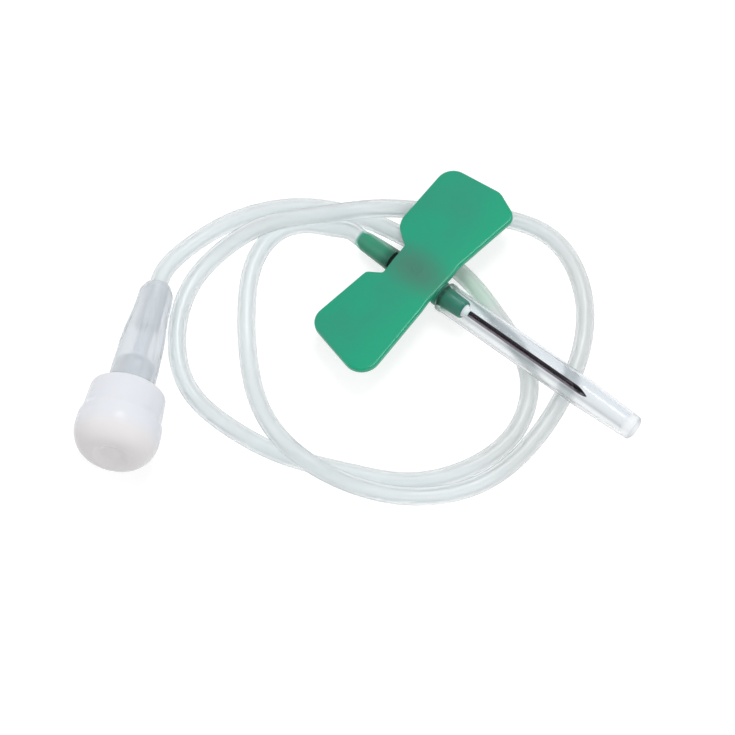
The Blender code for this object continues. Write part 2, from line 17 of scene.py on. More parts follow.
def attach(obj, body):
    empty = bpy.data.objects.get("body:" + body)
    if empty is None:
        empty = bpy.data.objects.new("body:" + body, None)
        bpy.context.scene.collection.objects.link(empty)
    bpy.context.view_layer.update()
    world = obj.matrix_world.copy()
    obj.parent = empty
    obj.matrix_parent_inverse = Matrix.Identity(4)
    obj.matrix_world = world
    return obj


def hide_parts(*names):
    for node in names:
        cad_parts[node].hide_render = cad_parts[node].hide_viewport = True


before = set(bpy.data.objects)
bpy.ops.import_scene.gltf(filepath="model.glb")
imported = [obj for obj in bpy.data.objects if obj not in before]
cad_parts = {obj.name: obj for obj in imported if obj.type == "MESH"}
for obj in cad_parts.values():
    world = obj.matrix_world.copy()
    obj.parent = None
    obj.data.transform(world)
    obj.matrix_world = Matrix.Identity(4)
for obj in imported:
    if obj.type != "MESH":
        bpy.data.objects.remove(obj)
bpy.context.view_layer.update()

log = logging.getLogger("winged_set")

MM = 0.001
Colour = tuple[float, float, float]
Place = tuple[float, float, float]
Span = tuple[float, float]
Knots = tuple[tuple[float, float, float], ...]
Stops = tuple[tuple[float, Colour], ...]
Socket = bpy.types.NodeSocket
Inputs = dict[str | int, object]
Finish = bpy.types.Material
Piece = bpy.types.Object

SHIFT_X = 0.05 * MM
SHIFT_Y = 0.168 * MM
TABLE_Z = -4.441 * MM
HUB_PITCH = math.radians(6.0)
CONNECTOR_AZIMUTH = math.radians(-60.8)
CONNECTOR_TILT = math.radians(8.997)
STUB_END = (-22.0, 0.0, 1.7972)
CONNECTOR_MOUTH = (-36.845, -21.973, 2.1456)
ACROSS_HUB = (0.0, 0.943, 0.335)
SHARP_ANGLE = math.radians(40.0)
MERGE_DISTANCE = 1e-7
LARGEST_SETBACK = 0.48
READINGS = 60


class Body(Enum):
    """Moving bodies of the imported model."""

    SET = "winged_set"
    SHEATH = "sheath"
    CAP = "cap"


class Slot(Enum):
    """Material slots of the record."""

    GREEN = "green_plastic"
    STEEL = "needle_steel"
    GLUE = "clear_glue"
    SHEATH = "clear_sheath"
    TUBE = "clear_tube"
    LUER = "clear_luer"
    CAP = "white_cap"


# Frames of the hub and the connector
@dataclass(frozen=True)
class Axis:
    """A local frame: its X runs along a turned piece, from its origin."""

    origin: Place
    azimuth: float
    tilt: float

    def turn(self) -> Place:
        """Return the frame's rotation as angles round X, Y and Z."""
        return 0.0, -self.tilt, self.azimuth

    def basis(self) -> np.ndarray:
        """Return the 3 by 3 matrix whose columns are the local X, Y and Z in the row frame."""
        around = Matrix.Rotation(self.azimuth, 3, "Z") @ Matrix.Rotation(-self.tilt, 3, "Y")
        return np.array(around)

    def place(self, points: np.ndarray) -> np.ndarray:
        """Carry local points to the row frame: the origin plus the basis times each point."""
        return np.asarray(self.origin) + points @ self.basis().T

    def at(self, along: float) -> np.ndarray:
        """Return the point of the axis at a station."""
        return np.asarray(self.origin) + self.basis()[:, 0] * along


def on_table(x: float, y: float, z: float) -> Place:
    """Carry a point given in millimetres over the table to the row frame."""
    return SHIFT_X + x * MM, SHIFT_Y + y * MM, TABLE_Z + z * MM


HUB = Axis(on_table(*STUB_END), 0.0, HUB_PITCH)
LUER = Axis(on_table(*CONNECTOR_MOUTH), CONNECTOR_AZIMUTH, CONNECTOR_TILT)


# Surfaces
def wrapped_quads(rows: int, columns: int, closed: bool = False) -> np.ndarray:
    """Index the quads of a grid whose columns wrap round.

    Vertex (i, j) has the number i times columns plus j. Each quad joins rows i and i + 1 and
    columns j and j + 1, the latter taken round the last column to the first.

    Args:
        rows: number of rings.
        columns: number of points in a ring.
        closed: whether the last ring joins the first.

    Returns:
        One row of four vertex numbers for each quad.
    """
    i = np.arange(rows if closed else rows - 1)[:, None]
    j = np.arange(columns)[None, :]
    here, below = i * columns, (i + 1) % rows * columns
    right = (j + 1) % columns
    return np.stack([here + j, here + right, below + right, below + j], axis=-1).reshape(-1, 4)


def corners(rows: Knots, along: float = 0.0, radius: float = 0.0) -> list[Place]:
    """Turn profile rows in millimetres into corners in metres, moved by along and radius."""
    return [(along + a * MM, radius + b * MM, c * MM) for a, b, c in rows]


def fillet(path: list[Place], closed: bool = False, steps: int = 6) -> np.ndarray:
    """Round the corners of a path.

    Each corner is replaced by an arc tangent to both sides: its ends lie radius over tan(half) from
    the corner, and its centre on the bisector at radius over sin(half), half being half the angle
    between the sides. An arc takes up no more than a set share of the shorter side.

    Args:
        path: x, y and radius of each corner.
        closed: whether the last corner joins the first.
        steps: segments of each arc.

    Returns:
        Points of the rounded path.
    """
    points = np.array(path, dtype=float)
    count = len(points)
    rounded = []
    for index in range(count):
        corner, radius = points[index, :2], points[index, 2]
        if radius <= 0.0 or (not closed and index in (0, count - 1)):
            rounded.append(corner[None, :])
            continue
        before = points[index - 1, :2] - corner
        after = points[(index + 1) % count, :2] - corner
        reach = np.linalg.norm(before), np.linalg.norm(after)
        before, after = before / reach[0], after / reach[1]
        half = math.acos(float(np.clip(before @ after, -1.0, 1.0))) / 2.0
        setback = min(radius / math.tan(half), LARGEST_SETBACK * min(reach))
        radius = setback * math.tan(half)
        bisector = (before + after) / np.linalg.norm(before + after)
        centre = corner + bisector * radius / math.sin(half)
        spoke = corner + before * setback - centre
        side = math.copysign(1.0, float(after[0] * before[1] - after[1] * before[0]))
        angle = side * (math.pi - 2.0 * half) * np.linspace(0.0, 1.0, steps + 1)[:, None]
        normal = np.array([-spoke[1], spoke[0]])
        rounded.append(centre + spoke * np.cos(angle) + normal * np.sin(angle))
    return np.concatenate(rounded)


def resample(path: np.ndarray, count: int, closed: bool = False) -> np.ndarray:
    """Read evenly spaced points from a path by linear interpolation along its length.

    Args:
        path: points of the path, one row each.
        count: number of points to return.
        closed: whether the last point joins the first.

    Returns:
        Points at even distances.
    """
    loop = np.vstack([path, path[:1]]) if closed else path
    run = running_length(loop)
    at = np.linspace(0.0, run[-1], count + closed)[:count]
    return np.column_stack([np.interp(at, run, loop[:, axis]) for axis in range(loop.shape[1])])


def running_length(path: np.ndarray) -> np.ndarray:
    """Return the distance along a path at each of its points."""
    return np.concatenate(([0.0], np.cumsum(np.linalg.norm(np.diff(path, axis=0), axis=1))))


def natural_spline(knots: np.ndarray, count: int) -> np.ndarray:
    """Read evenly spaced points from the natural cubic spline through the knots.

    Second derivatives m solve the usual tridiagonal system with m = 0 at both ends. In a span of
    length h, at distance d, p = p0 + d ((p1 - p0) / h - h (2 m0 + m1) / 6) + d^2 m0 / 2
    + d^3 (m1 - m0) / 6 h. Each knot counts for a set number of readings.

    Args:
        knots: points that the curve passes through.
        count: number of points to return.

    Returns:
        Points at even distances along the curve.
    """
    at = running_length(knots)
    spans = np.linalg.norm(np.diff(knots, axis=0), axis=1)
    slopes = np.diff(knots, axis=0) / spans[:, None]
    inner = np.arange(1, len(knots) - 1)
    system = np.eye(len(knots))
    system[inner, inner - 1] = spans[:-1]
    system[inner, inner] = 2.0 * (spans[:-1] + spans[1:])
    system[inner, inner + 1] = spans[1:]
    target = np.zeros_like(knots)
    target[inner] = 6.0 * np.diff(slopes, axis=0)
    bend = np.linalg.solve(system, target)
    where = np.linspace(0.0, at[-1], len(knots) * READINGS)
    span = np.clip(np.searchsorted(at, where, side="right") - 1, 0, len(knots) - 2)
    d, h = (where - at[span])[:, None], spans[span][:, None]
    m0, m1 = bend[span], bend[span + 1]
    curve = knots[span] + d * (slopes[span] - h * (2.0 * m0 + m1) / 6.0) + d ** 2 * m0 / 2.0
    curve += d ** 3 * (m1 - m0) / (6.0 * h)
    return resample(curve, count)


def turned_grid(profile: np.ndarray, columns: int, bulge: np.ndarray | float = 0.0) -> np.ndarray:
    """Spin a profile of (along, radius) rows round the local X axis.

    The point of row i and column j is (along, (radius + bulge) sin a, (radius + bulge) cos a), with
    a = 2 pi j / columns.

    Args:
        profile: along and radius of each row.
        columns: points round the axis.
        bulge: radius to add at each row and column.

    Returns:
        Local coordinates, row by row.
    """
    angle = around(columns)
    radius = profile[:, 1:2] + np.zeros(columns) + bulge
    along = np.broadcast_to(profile[:, :1], radius.shape)
    grid = np.stack([along, radius * np.sin(angle), radius * np.cos(angle)], axis=-1)
    return grid.reshape(-1, 3)


def around(columns: int) -> np.ndarray:
    """Return evenly spaced angles of a full turn, without its end."""
    return 2.0 * np.pi * np.arange(columns) / columns


@dataclass(frozen=True)
class Tag:
    """Name of a piece, the body that it rides on and its slot."""

    name: str
    body: Body
    slot: Slot

    def solid(self, points: np.ndarray, faces: list[np.ndarray],
              material: Finish) -> Piece:
        """Make one closed piece, with its doubles merged and its faces turned outwards.

        Args:
            points: vertices in the row frame.
            faces: arrays of vertex numbers, one array for each size of face.
            material: finish of the piece.

        Returns:
            The new object.
        """
        mesh = bpy.data.meshes.new(self.name)
        mesh.from_pydata(points.tolist(), [], [row for group in faces for row in group.tolist()])
        shell = bmesh.new()
        shell.from_mesh(mesh)
        bmesh.ops.remove_doubles(shell, verts=shell.verts, dist=MERGE_DISTANCE)
        bmesh.ops.recalc_face_normals(shell, faces=shell.faces)
        shell.to_mesh(mesh)
        shell.free()
        mesh.shade_smooth()
        mesh.set_sharp_from_angle(angle=SHARP_ANGLE)
        mesh.materials.append(material)
        piece = bpy.data.objects.new(self.name, mesh)
        bpy.context.scene.collection.objects.link(piece)
        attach(piece, self.body.value)
        log.info("%s: %d faces on body %s", self.name, len(mesh.polygons), self.body.value)
        return piece

    def turned(self, profile: np.ndarray, axis: Axis, material: Finish,
               columns: int = 96, closed: bool = True) -> Piece:
        """Make a piece by spinning a profile round an axis.

        Args:
            profile: along and radius of each row; an open profile starts and ends on the axis.
            axis: frame whose X is the axis.
            material: finish of the piece.
            columns: points round the axis.
            closed: whether the last row joins the first.

        Returns:
            The new object.
        """
        points = axis.place(turned_grid(profile, columns))
        return self.solid(points, [wrapped_quads(len(profile), columns, closed)], material)


# Finishes
class Tree:
    """A node tree, with short calls for its nodes."""

    def __init__(self, tree: bpy.types.NodeTree) -> None:
        """Hold the tree."""
        self.tree = tree

    def add(self, kind: str, output: str | int, inputs: Inputs, **settings: object) -> Socket:
        """Add a node, fill its inputs and pick one of its outputs.

        Args:
            kind: type of the node.
            output: name or number of the output.
            inputs: what each input gets: an output to join, a number, a vector or a colour.
            settings: properties of the node itself.

        Returns:
            The output.
        """
        node = self.tree.nodes.new(kind)
        for key, value in settings.items():
            setattr(node, key, value)
        for key, value in inputs.items():
            target = node.inputs[key]
            if isinstance(value, Socket):
                self.link(value, target)
            else:
                target.default_value = (*value, 1.0) if target.type == "RGBA" else value
        return node.outputs[output]

    def link(self, source: Socket, target: Socket) -> None:
        """Join an output to an input."""
        self.tree.links.new(source, target)

    def work(self, operation: str, first: Socket, second: Socket | float) -> Socket:
        """Work out one value from two, by the named operation."""
        return self.add("ShaderNodeMath", "Value", {0: first, 1: second}, operation=operation)

    def mix(self, share: Socket, first: Socket, second: Socket) -> Socket:
        """Mix two shaders by the share of the second."""
        return self.add("ShaderNodeMixShader", "Shader", {"Fac": share, 1: first, 2: second})

    def ramp(self, value: Socket, stops: Stops) -> Socket:
        """Return the colour that a ramp gives a value.

        Args:
            value: where to read the ramp.
            stops: position and colour of each stop, two or more.

        Returns:
            The colour.
        """
        colour = self.add("ShaderNodeValToRGB", "Color", {"Fac": value})
        bar = colour.node.color_ramp.elements
        while len(bar) < len(stops):
            bar.new(0.5)
        for mark, (position, tint) in zip(bar, stops):
            mark.position = position
            mark.color = (*tint, 1.0)
        return colour

    def in_sight(self) -> Socket:
        """Tell rays that see, mirror or look through a clear piece from rays that only light.

        Returns:
            A value of 1 for a ray of the first kind and 0 for any other.
        """
        seen = self.add("ShaderNodeLightPath", "Is Camera Ray", {})
        plain = self.work("MAXIMUM", seen, seen.node.outputs["Is Glossy Ray"])
        return self.work("MAXIMUM", plain, seen.node.outputs["Is Transmission Ray"])


class Nodes(Tree):
    """Node tree of one material, with its Principled shader."""

    def __init__(self, name: str) -> None:
        """Start a material with a Principled shader.

        Args:
            name: name of the material.
        """
        self.material = bpy.data.materials.new(name)
        self.material.use_nodes = True
        super().__init__(self.material.node_tree)
        self.shader = self.tree.nodes["Principled BSDF"]
        self.output = self.tree.nodes["Material Output"]

    def set(self, **values: object) -> None:
        """Set the Principled shader's own sockets, with blanks written as underscores."""
        for key, value in values.items():
            self.shader.inputs[key.replace("_", " ")].default_value = value

    def paint(self, colour: Socket, roughness: Socket) -> None:
        """Give the shader its colour and roughness."""
        self.link(colour, self.shader.inputs["Base Color"])
        self.link(roughness, self.shader.inputs["Roughness"])

    def place(self, origin: Place = (0.0, 0.0, 0.0), turn: Place = (0.0, 0.0, 0.0),
              scale: Place = (1.0, 1.0, 1.0)) -> Socket:
        """Return Object coordinates in a frame with its own origin, turn and unit lengths."""
        frame_of = {"Location": origin, "Rotation": turn, "Scale": scale,
                    "Vector": self.add("ShaderNodeTexCoord", "Object", {})}
        return self.add("ShaderNodeMapping", "Vector", frame_of, vector_type="TEXTURE")

    def noise(self, scale: float, detail: float = 2.0, source: Socket | None = None) -> Socket:
        """Return a noise value on Object coordinates; scale counts its cells in a metre."""
        grain = {"Scale": scale, "Detail": detail, "Vector": source or self.place()}
        return self.add("ShaderNodeTexNoise", "Fac", grain)

    def spread(self, value: Socket, low: float, high: float, start: float = 0.0,
               end: float = 1.0) -> Socket:
        """Map a value from start to end onto low to high, smoothly."""
        limits = {"Value": value, "From Min": start, "From Max": end, "To Min": low, "To Max": high}
        return self.add("ShaderNodeMapRange", "Result", limits, interpolation_type="SMOOTHSTEP")

    def rise(self, value: Socket, span: Span) -> Socket:
        """Return 0 before a span of values and 1 after it, with a smooth change between."""
        return self.spread(value, 0.0, 1.0, *span)

    def blend(self, share: Socket, first: Colour | Socket, second: Colour | Socket) -> Socket:
        """Mix two colours by the share of the second."""
        return self.add("ShaderNodeMix", 2, {0: share, 6: first, 7: second}, data_type="RGBA")

    def local(self, axis: Axis, letter: str) -> Socket:
        """Return one coordinate of a frame in metres; X is the station along its axis."""
        where = self.place(axis.origin, axis.turn())
        return self.add("ShaderNodeSeparateXYZ", letter, {"Vector": where})

    def across(self, radius: float) -> Socket:
        """Return the share across the hub's round pieces, from the front side to the rear side.

        It is the dot product of hub coordinates over the diameter with a direction across the hub,
        plus one half.

        Args:
            radius: radius of the piece.

        Returns:
            A value from 0 to 1.
        """
        sides = {0: self.place(HUB.origin, HUB.turn(), (2.0 * radius,) * 3), 1: ACROSS_HUB}
        dot = self.add("ShaderNodeVectorMath", "Value", sides, operation="DOT_PRODUCT")
        return self.work("ADD", dot, 0.5)

    def halo(self, middle: np.ndarray | Place, turn: Place, reach: Place) -> Socket:
        """Return 1 in the middle of an ellipsoid, falling evenly to 0 on its skin."""
        ball = {"Vector": self.place(tuple(middle), turn, reach)}
        return self.add("ShaderNodeTexGradient", "Fac", ball, gradient_type="SPHERICAL")

    def bump(self, height: Socket, strength: float, distance: float) -> None:
        """Raise fine relief on the shader's normal."""
        relief = {"Height": height, "Strength": strength, "Distance": distance}
        self.link(self.add("ShaderNodeBump", "Normal", relief), self.shader.inputs["Normal"])

    def let_light_through(self, colour: Colour) -> None:
        """Let shadow rays pass, tinted, so that a clear piece throws a faint shadow.

        Args:
            colour: tint of the light that passes.
        """
        shadow = self.add("ShaderNodeLightPath", "Is Shadow Ray", {})
        clear = self.add("ShaderNodeBsdfTransparent", "BSDF", {"Color": colour})
        both = self.mix(shadow, self.shader.outputs["BSDF"], clear)
        self.link(both, self.output.inputs["Surface"])


@dataclass(frozen=True)
class ClearPlastic:
    """Clear plastic whose tint deepens where it is seen edge on."""

    name: str
    face: Colour
    rim: Colour
    clearness: float
    index: float
    rough: float
    grain: float = 900.0
    relief: float = 0.02
    cloud: Colour = (0.97, 0.98, 0.98)
    cloud_grain: float = 0.2
    mottle: Span = (0.7, 1.4)
    ripple_grain: float = 0.3
    ripple: float = 0.05 * MM
    edge: Span = (0.35, 1.0)
    shade: Colour = (0.94, 0.95, 0.95)

    def tint(self, nodes: Nodes) -> Socket:
        """Return the colour seen face on, faintly clouded by noise."""
        clouded = tuple(part * share for part, share in zip(self.face, self.cloud))
        return nodes.blend(nodes.noise(self.grain * self.cloud_grain), self.face, clouded)

    def roughness(self, nodes: Nodes) -> Socket:
        """Return the roughness, mottled by noise."""
        low, high = self.mottle
        return nodes.spread(nodes.noise(self.grain), self.rough * low, self.rough * high)

    def make(self) -> Finish:
        """Make the material: tint by Layer Weight, roughness and relief by noise.

        Returns:
            The material.
        """
        nodes = Nodes(self.name)
        facing = nodes.add("ShaderNodeLayerWeight", "Facing", {"Blend": 0.5})
        colour = nodes.blend(nodes.rise(facing, self.edge), self.tint(nodes), self.rim)
        nodes.paint(colour, self.roughness(nodes))
        nodes.set(Transmission_Weight=self.clearness, IOR=self.index)
        nodes.bump(nodes.noise(self.grain * self.ripple_grain), self.relief, self.ripple)
        nodes.let_light_through(self.shade)
        return nodes.material


@dataclass(frozen=True)
class SheathPlastic(ClearPlastic):
    """Clear plastic with painted bluish shade on its rear side and a painted highlight band along
    its front side.
    """

    radius: float = 1.88 * MM
    # the hub's green seen through the sheath, painted near its mouth
    seen_hub_green: Colour = (0.64, 0.75, 0.705)
    mouth: Span = (13.8 * MM, 16.4 * MM)
    # painted shade at the mouth's rim
    mouth_shade: Colour = (0.25, 0.35, 0.32)
    mouth_shade_end: Span = (14.0 * MM, 14.35 * MM)
    under_rough: float = 0.42
    under: Span = (-0.7 * MM, 0.0)
    end_rough: float = 0.34
    end: Span = (42.2 * MM, 43.2 * MM)
    # painted light across the sheath: a highlight band on the front side, a grey shade line, bluish
    # shade on the rear side
    light_bands: Stops = (
        (0.04, (0.84, 0.85, 0.86)), (0.14, (0.93, 0.94, 0.945)), (0.22, (0.88, 0.89, 0.90)),
        (0.30, (0.71, 0.73, 0.745)), (0.40, (0.81, 0.835, 0.85)), (0.60, (0.875, 0.90, 0.915)),
        (0.72, (0.845, 0.87, 0.895)), (0.94, (0.84, 0.87, 0.895)),
    )

    def tint(self, nodes: Nodes) -> Socket:
        """Return the colour seen face on.

        It goes by place across the sheath as painted highlight and shade bands, with the hub's
        green seen through it painted at the mouth and painted shade at the mouth's rim.

        Args:
            nodes: tree to add to.

        Returns:
            The colour.
        """
        station = nodes.local(HUB, "X")
        # painted highlight and shade bands across the sheath
        light_banded = nodes.ramp(nodes.across(self.radius), self.light_bands)
        plain = nodes.blend(nodes.rise(station, self.mouth), self.seen_hub_green, light_banded)
        return nodes.blend(nodes.spread(station, 1.0, 0.0, *self.mouth_shade_end), plain, self.mouth_shade)

    def roughness(self, nodes: Nodes) -> Socket:
        """Return the roughness: clear above, scuffed underneath and at the closed end.

        Args:
            nodes: tree to add to.

        Returns:
            The roughness.
        """
        under = nodes.spread(nodes.local(HUB, "Z"), self.under_rough, self.rough, *self.under)
        end = nodes.spread(nodes.local(HUB, "X"), 0.0, self.end_rough, *self.end)
        return nodes.work("MAXIMUM", under, end)


@dataclass(frozen=True)
class TubePlastic(ClearPlastic):
    """Clear soft plastic, with the stub's green seen through it painted on where it is pushed over
    it.
    """

    radius: float = 1.52 * MM
    # the stub's green seen through the tube, painted on; deeper painted shade towards the wings
    seen_stub_green: Colour = (0.16, 0.50, 0.38)
    shaded_stub_green: Colour = (0.02, 0.11, 0.08)
    deep_share: float = 0.65
    deep_shade: Span = (3.6 * MM, 5.2 * MM)
    # painted highlight line along the rear side of the stub's green; line is where it sits on the
    # ramp
    highlight_line: Colour = (0.62, 0.86, 0.76)
    line: Span = (0.76, 0.84)
    stub_end: float = 5.3 * MM
    stub_reach: Place = (40.0 * MM, 2.2 * MM, 2.2 * MM)
    stub_skin: Span = (0.26, 0.30)
    stub_start: Span = (-0.25 * MM, 0.0)
    # painted green light from the wing, on the strand under it
    glow: Colour = (0.70, 0.81, 0.755)
    glow_at: Place = (15.2 * MM, 3.6 * MM, -2.6 * MM)
    glow_reach: float = 5.5 * MM
    glow_fade: Span = (0.0, 0.7)
    # painted shade on the strands near the hub
    hub_shade: Colour = (0.78, 0.80, 0.80)
    hub_shade_at: Place = (7.7 * MM, 2.4 * MM, TABLE_Z)
    hub_shade_reach: float = 24.0 * MM
    hub_shade_fade: Span = (0.1, 0.5)

    def tint(self, nodes: Nodes) -> Socket:
        """Return the colour seen face on: clear, or the stub's green seen through the tube, painted
        on within its reach.

        The green has a painted highlight line along the rear side and painted shade deepening
        towards the wings. The clear part has painted shade near the hub and a painted green glow
        under the wing.

        Args:
            nodes: tree to add to.

        Returns:
            The colour.
        """
        level = (0.0, 0.0, 0.0)
        close = nodes.halo(HUB.at(self.stub_end / 2.0), HUB.turn(), self.stub_reach)
        near = nodes.rise(close, self.stub_skin)
        along = nodes.rise(nodes.local(HUB, "X"), self.stub_start)
        # painted shade near the hub
        right = nodes.halo(self.hub_shade_at, level, (self.hub_shade_reach,) * 3)
        clear = nodes.blend(nodes.rise(right, self.hub_shade_fade), super().tint(nodes), self.hub_shade)
        # painted green light from the wing on the strand under it
        under_wing = nodes.halo(HUB.place(np.array(self.glow_at)), level, (self.glow_reach,) * 3)
        plain = nodes.blend(nodes.rise(under_wing, self.glow_fade), clear, self.glow)
        # stub's green seen through the tube, with a painted highlight line and painted shade
        # towards the wings
        stops = ((0.0, self.seen_stub_green), (self.line[0], self.seen_stub_green), (self.line[1], self.highlight_line),
                 (1.0, self.highlight_line))
        deep_shade = nodes.spread(nodes.local(HUB, "X"), 0.0, self.deep_share, *self.deep_shade)
        seen_stub = nodes.blend(deep_shade, nodes.ramp(nodes.across(self.radius), stops), self.shaded_stub_green)
        return nodes.blend(nodes.work("MULTIPLY", near, along), plain, seen_stub)


@dataclass(frozen=True)
class MouldedGreen:
    """Green moulded plastic, greyer towards the rear by a painted reflection and over the barrel by
    painted shade.

    A gap is a stretch of stations painted nearly black as shadow, where the tube's end meets the
    hub.
    From the shaded station on, the colour is the painted shade, a deep green, of the nose inside
    the sheath.
    """

    name: str
    coat: float
    bright: Colour = (0.0, 0.40, 0.215)
    # painted grey reflection towards the rear
    reflected_grey: Colour = (0.018, 0.335, 0.205)
    rearward: Span = (8.3 * MM, 14.8 * MM)
    # painted shade where the barrel lies under the plate
    barrel_shade: Colour = (0.075, 0.19, 0.145)
    barrel_shade_at: float = 9.3 * MM
    barrel_shade_reach: Place = (8.5 * MM, 4.4 * MM, 4.4 * MM)
    barrel_shade_fade: Span = (0.0, 0.95)
    # painted shadow: nearly black where the tube's end meets the hub
    gap: Span | None = None
    shadow_black: Colour = (0.002, 0.006, 0.005)
    gap_shadow_fade: float = 0.05 * MM
    # painted shade on the nose inside the sheath
    shaded: float | None = None
    deep_shade: Colour = (0.036, 0.21, 0.145)
    deep_fade: float = 0.2 * MM

    def make(self) -> Finish:
        """Make the material: painted reflection and shade by place along the hub and by distance
        from its middle.

        Returns:
            The material.
        """
        nodes = Nodes(self.name)
        station = nodes.local(HUB, "X")
        # painted grey reflection towards the rear, broken up by noise
        rear = nodes.spread(station, 1.0, 0.0, *self.rearward)
        mottle = nodes.spread(nodes.noise(160.0, 3.0), 0.4, 1.0, 0.3, 0.7)
        body = nodes.blend(nodes.work("MULTIPLY", rear, mottle), self.bright, self.reflected_grey)
        # painted shade over the barrel
        over_barrel = nodes.halo(HUB.at(self.barrel_shade_at), HUB.turn(), self.barrel_shade_reach)
        colour = nodes.blend(nodes.rise(over_barrel, self.barrel_shade_fade), body, self.barrel_shade)
        # painted shadow in the gap
        if self.gap:
            start, end = self.gap
            after = nodes.rise(station, (start - self.gap_shadow_fade, start))
            before = nodes.spread(station, 1.0, 0.0, end, end + self.gap_shadow_fade)
            colour = nodes.blend(nodes.work("MULTIPLY", after, before), colour, self.shadow_black)
        # painted shade on the nose inside the sheath
        if self.shaded:
            inside = nodes.rise(station, (self.shaded - self.deep_fade, self.shaded))
            colour = nodes.blend(inside, colour, self.deep_shade)
        nodes.paint(colour, nodes.spread(nodes.noise(700.0), 0.3, 0.45))
        nodes.set(Specular_IOR_Level=0.2, Coat_Weight=self.coat, Coat_Roughness=0.06,
                  Subsurface_Weight=0.08, Subsurface_Radius=(0.4, 1.0, 0.7),
                  Subsurface_Scale=0.8 * MM)
        nodes.bump(nodes.noise(420.0, 3.0), 0.12, 0.04 * MM)
        return nodes.material


@dataclass(frozen=True)
class NeedleSteel:
    """Drawn stainless steel with fine lines along the needle and a painted reflection across it."""

    radius: float = 0.4 * MM
    # painted reflection: dark on the rear side, warm on the front side
    dark: Colour = (0.022, 0.016, 0.021)
    reflected_warm: Colour = (0.27, 0.225, 0.25)
    change: Span = (0.26, 0.40)
    lines: Place = (9.0 * MM, 0.09 * MM, 0.09 * MM)
    line_share: float = 0.06

    def make(self) -> Finish:
        """Make the material: a painted reflection, warm on the front side and dark on the rear, by
        place across the needle, and fine lines along it.

        Returns:
            The material.
        """
        nodes = Nodes("drawn_steel")
        lines = nodes.noise(1.0, 3.0, nodes.place(scale=self.lines))
        stops = ((0.05, self.reflected_warm), (self.change[0], self.reflected_warm), (self.change[1], self.dark),
                 (1.0, self.dark))
        # painted reflection across the needle
        sides = nodes.ramp(nodes.across(self.radius), stops)
        colour = nodes.blend(nodes.spread(lines, 0.0, self.line_share), sides, self.reflected_warm)
        nodes.paint(colour, nodes.spread(lines, 0.2, 0.4))
        nodes.set(Metallic=1.0)
        nodes.bump(lines, 0.1, 0.01 * MM)
        return nodes.material


@dataclass(frozen=True)
class MilkyCap:
    """Milky white plastic, cooler at the rim and warmer at the closed end."""

    rim: Colour = (0.85, 0.875, 0.96)
    end: Colour = (0.90, 0.872, 0.88)
    change: Span = (22.2 * MM, 24.3 * MM)
    cloud: Colour = (0.92, 0.93, 0.95)
    cloud_share: float = 0.35

    def make(self) -> Finish:
        """Make the material: colour by place along the cap, with a soft glow from inside.

        Returns:
            The material.
        """
        nodes = Nodes("milky_cap")
        along = nodes.rise(nodes.local(LUER, "X"), self.change)
        share = nodes.spread(nodes.noise(260.0, 3.0), 0.0, self.cloud_share)
        colour = nodes.blend(share, nodes.blend(along, self.rim, self.end), self.cloud)
        nodes.paint(colour, nodes.spread(nodes.noise(500.0), 0.16, 0.26))
        nodes.set(Subsurface_Weight=0.4, Subsurface_Radius=(1.0, 1.0, 1.0),
                  Subsurface_Scale=0.9 * MM, Specular_IOR_Level=0.18, IOR=1.5)
        nodes.bump(nodes.noise(350.0, 3.0), 0.08, 0.05 * MM)
        return nodes.material


@dataclass(frozen=True)
class SetGlue:
    """Whitish set glue round the needle's root."""

    colour: Colour = (0.86, 0.87, 0.86)
    pale: Colour = (0.95, 0.95, 0.95)

    def make(self) -> Finish:
        """Make the material: pale and wet looking, with small ripples.

        Returns:
            The material.
        """
        nodes = Nodes("set_glue")
        colour = nodes.blend(nodes.noise(1500.0), self.colour, self.pale)
        nodes.paint(colour, nodes.spread(nodes.noise(2500.0), 0.08, 0.25))
        nodes.set(Subsurface_Weight=0.4, Subsurface_Scale=0.3 * MM)
        nodes.bump(nodes.noise(2200.0), 0.2, 0.03 * MM)
        return nodes.material


SHEATH_CLEAR = SheathPlastic("sheath_clear", (0.95, 0.95, 0.985), (0.60, 0.62, 0.65), 1.0,
                             index=1.25, rough=0.07, grain=500.0, relief=0.01)
TUBE_CLEAR = TubePlastic("tube_clear", (0.838, 0.864, 0.872), (0.50, 0.535, 0.545), 0.7,
                         index=1.26, rough=0.16)
LUER_CLEAR = ClearPlastic("luer_clear", (0.765, 0.79, 0.82), (0.60, 0.62, 0.65), 0.65,
                          index=1.27, rough=0.16, grain=600.0)
PLATE_GREEN = MouldedGreen("moulded_green", 0.45)
# painted shadow at the tube's end and painted shade on the nose
BARREL_GREEN = MouldedGreen("barrel_green", 0.1, gap=(5.2 * MM, 5.65 * MM), shaded=13.4 * MM)
MARK_GREEN = MouldedGreen("mark_green", 0.0)


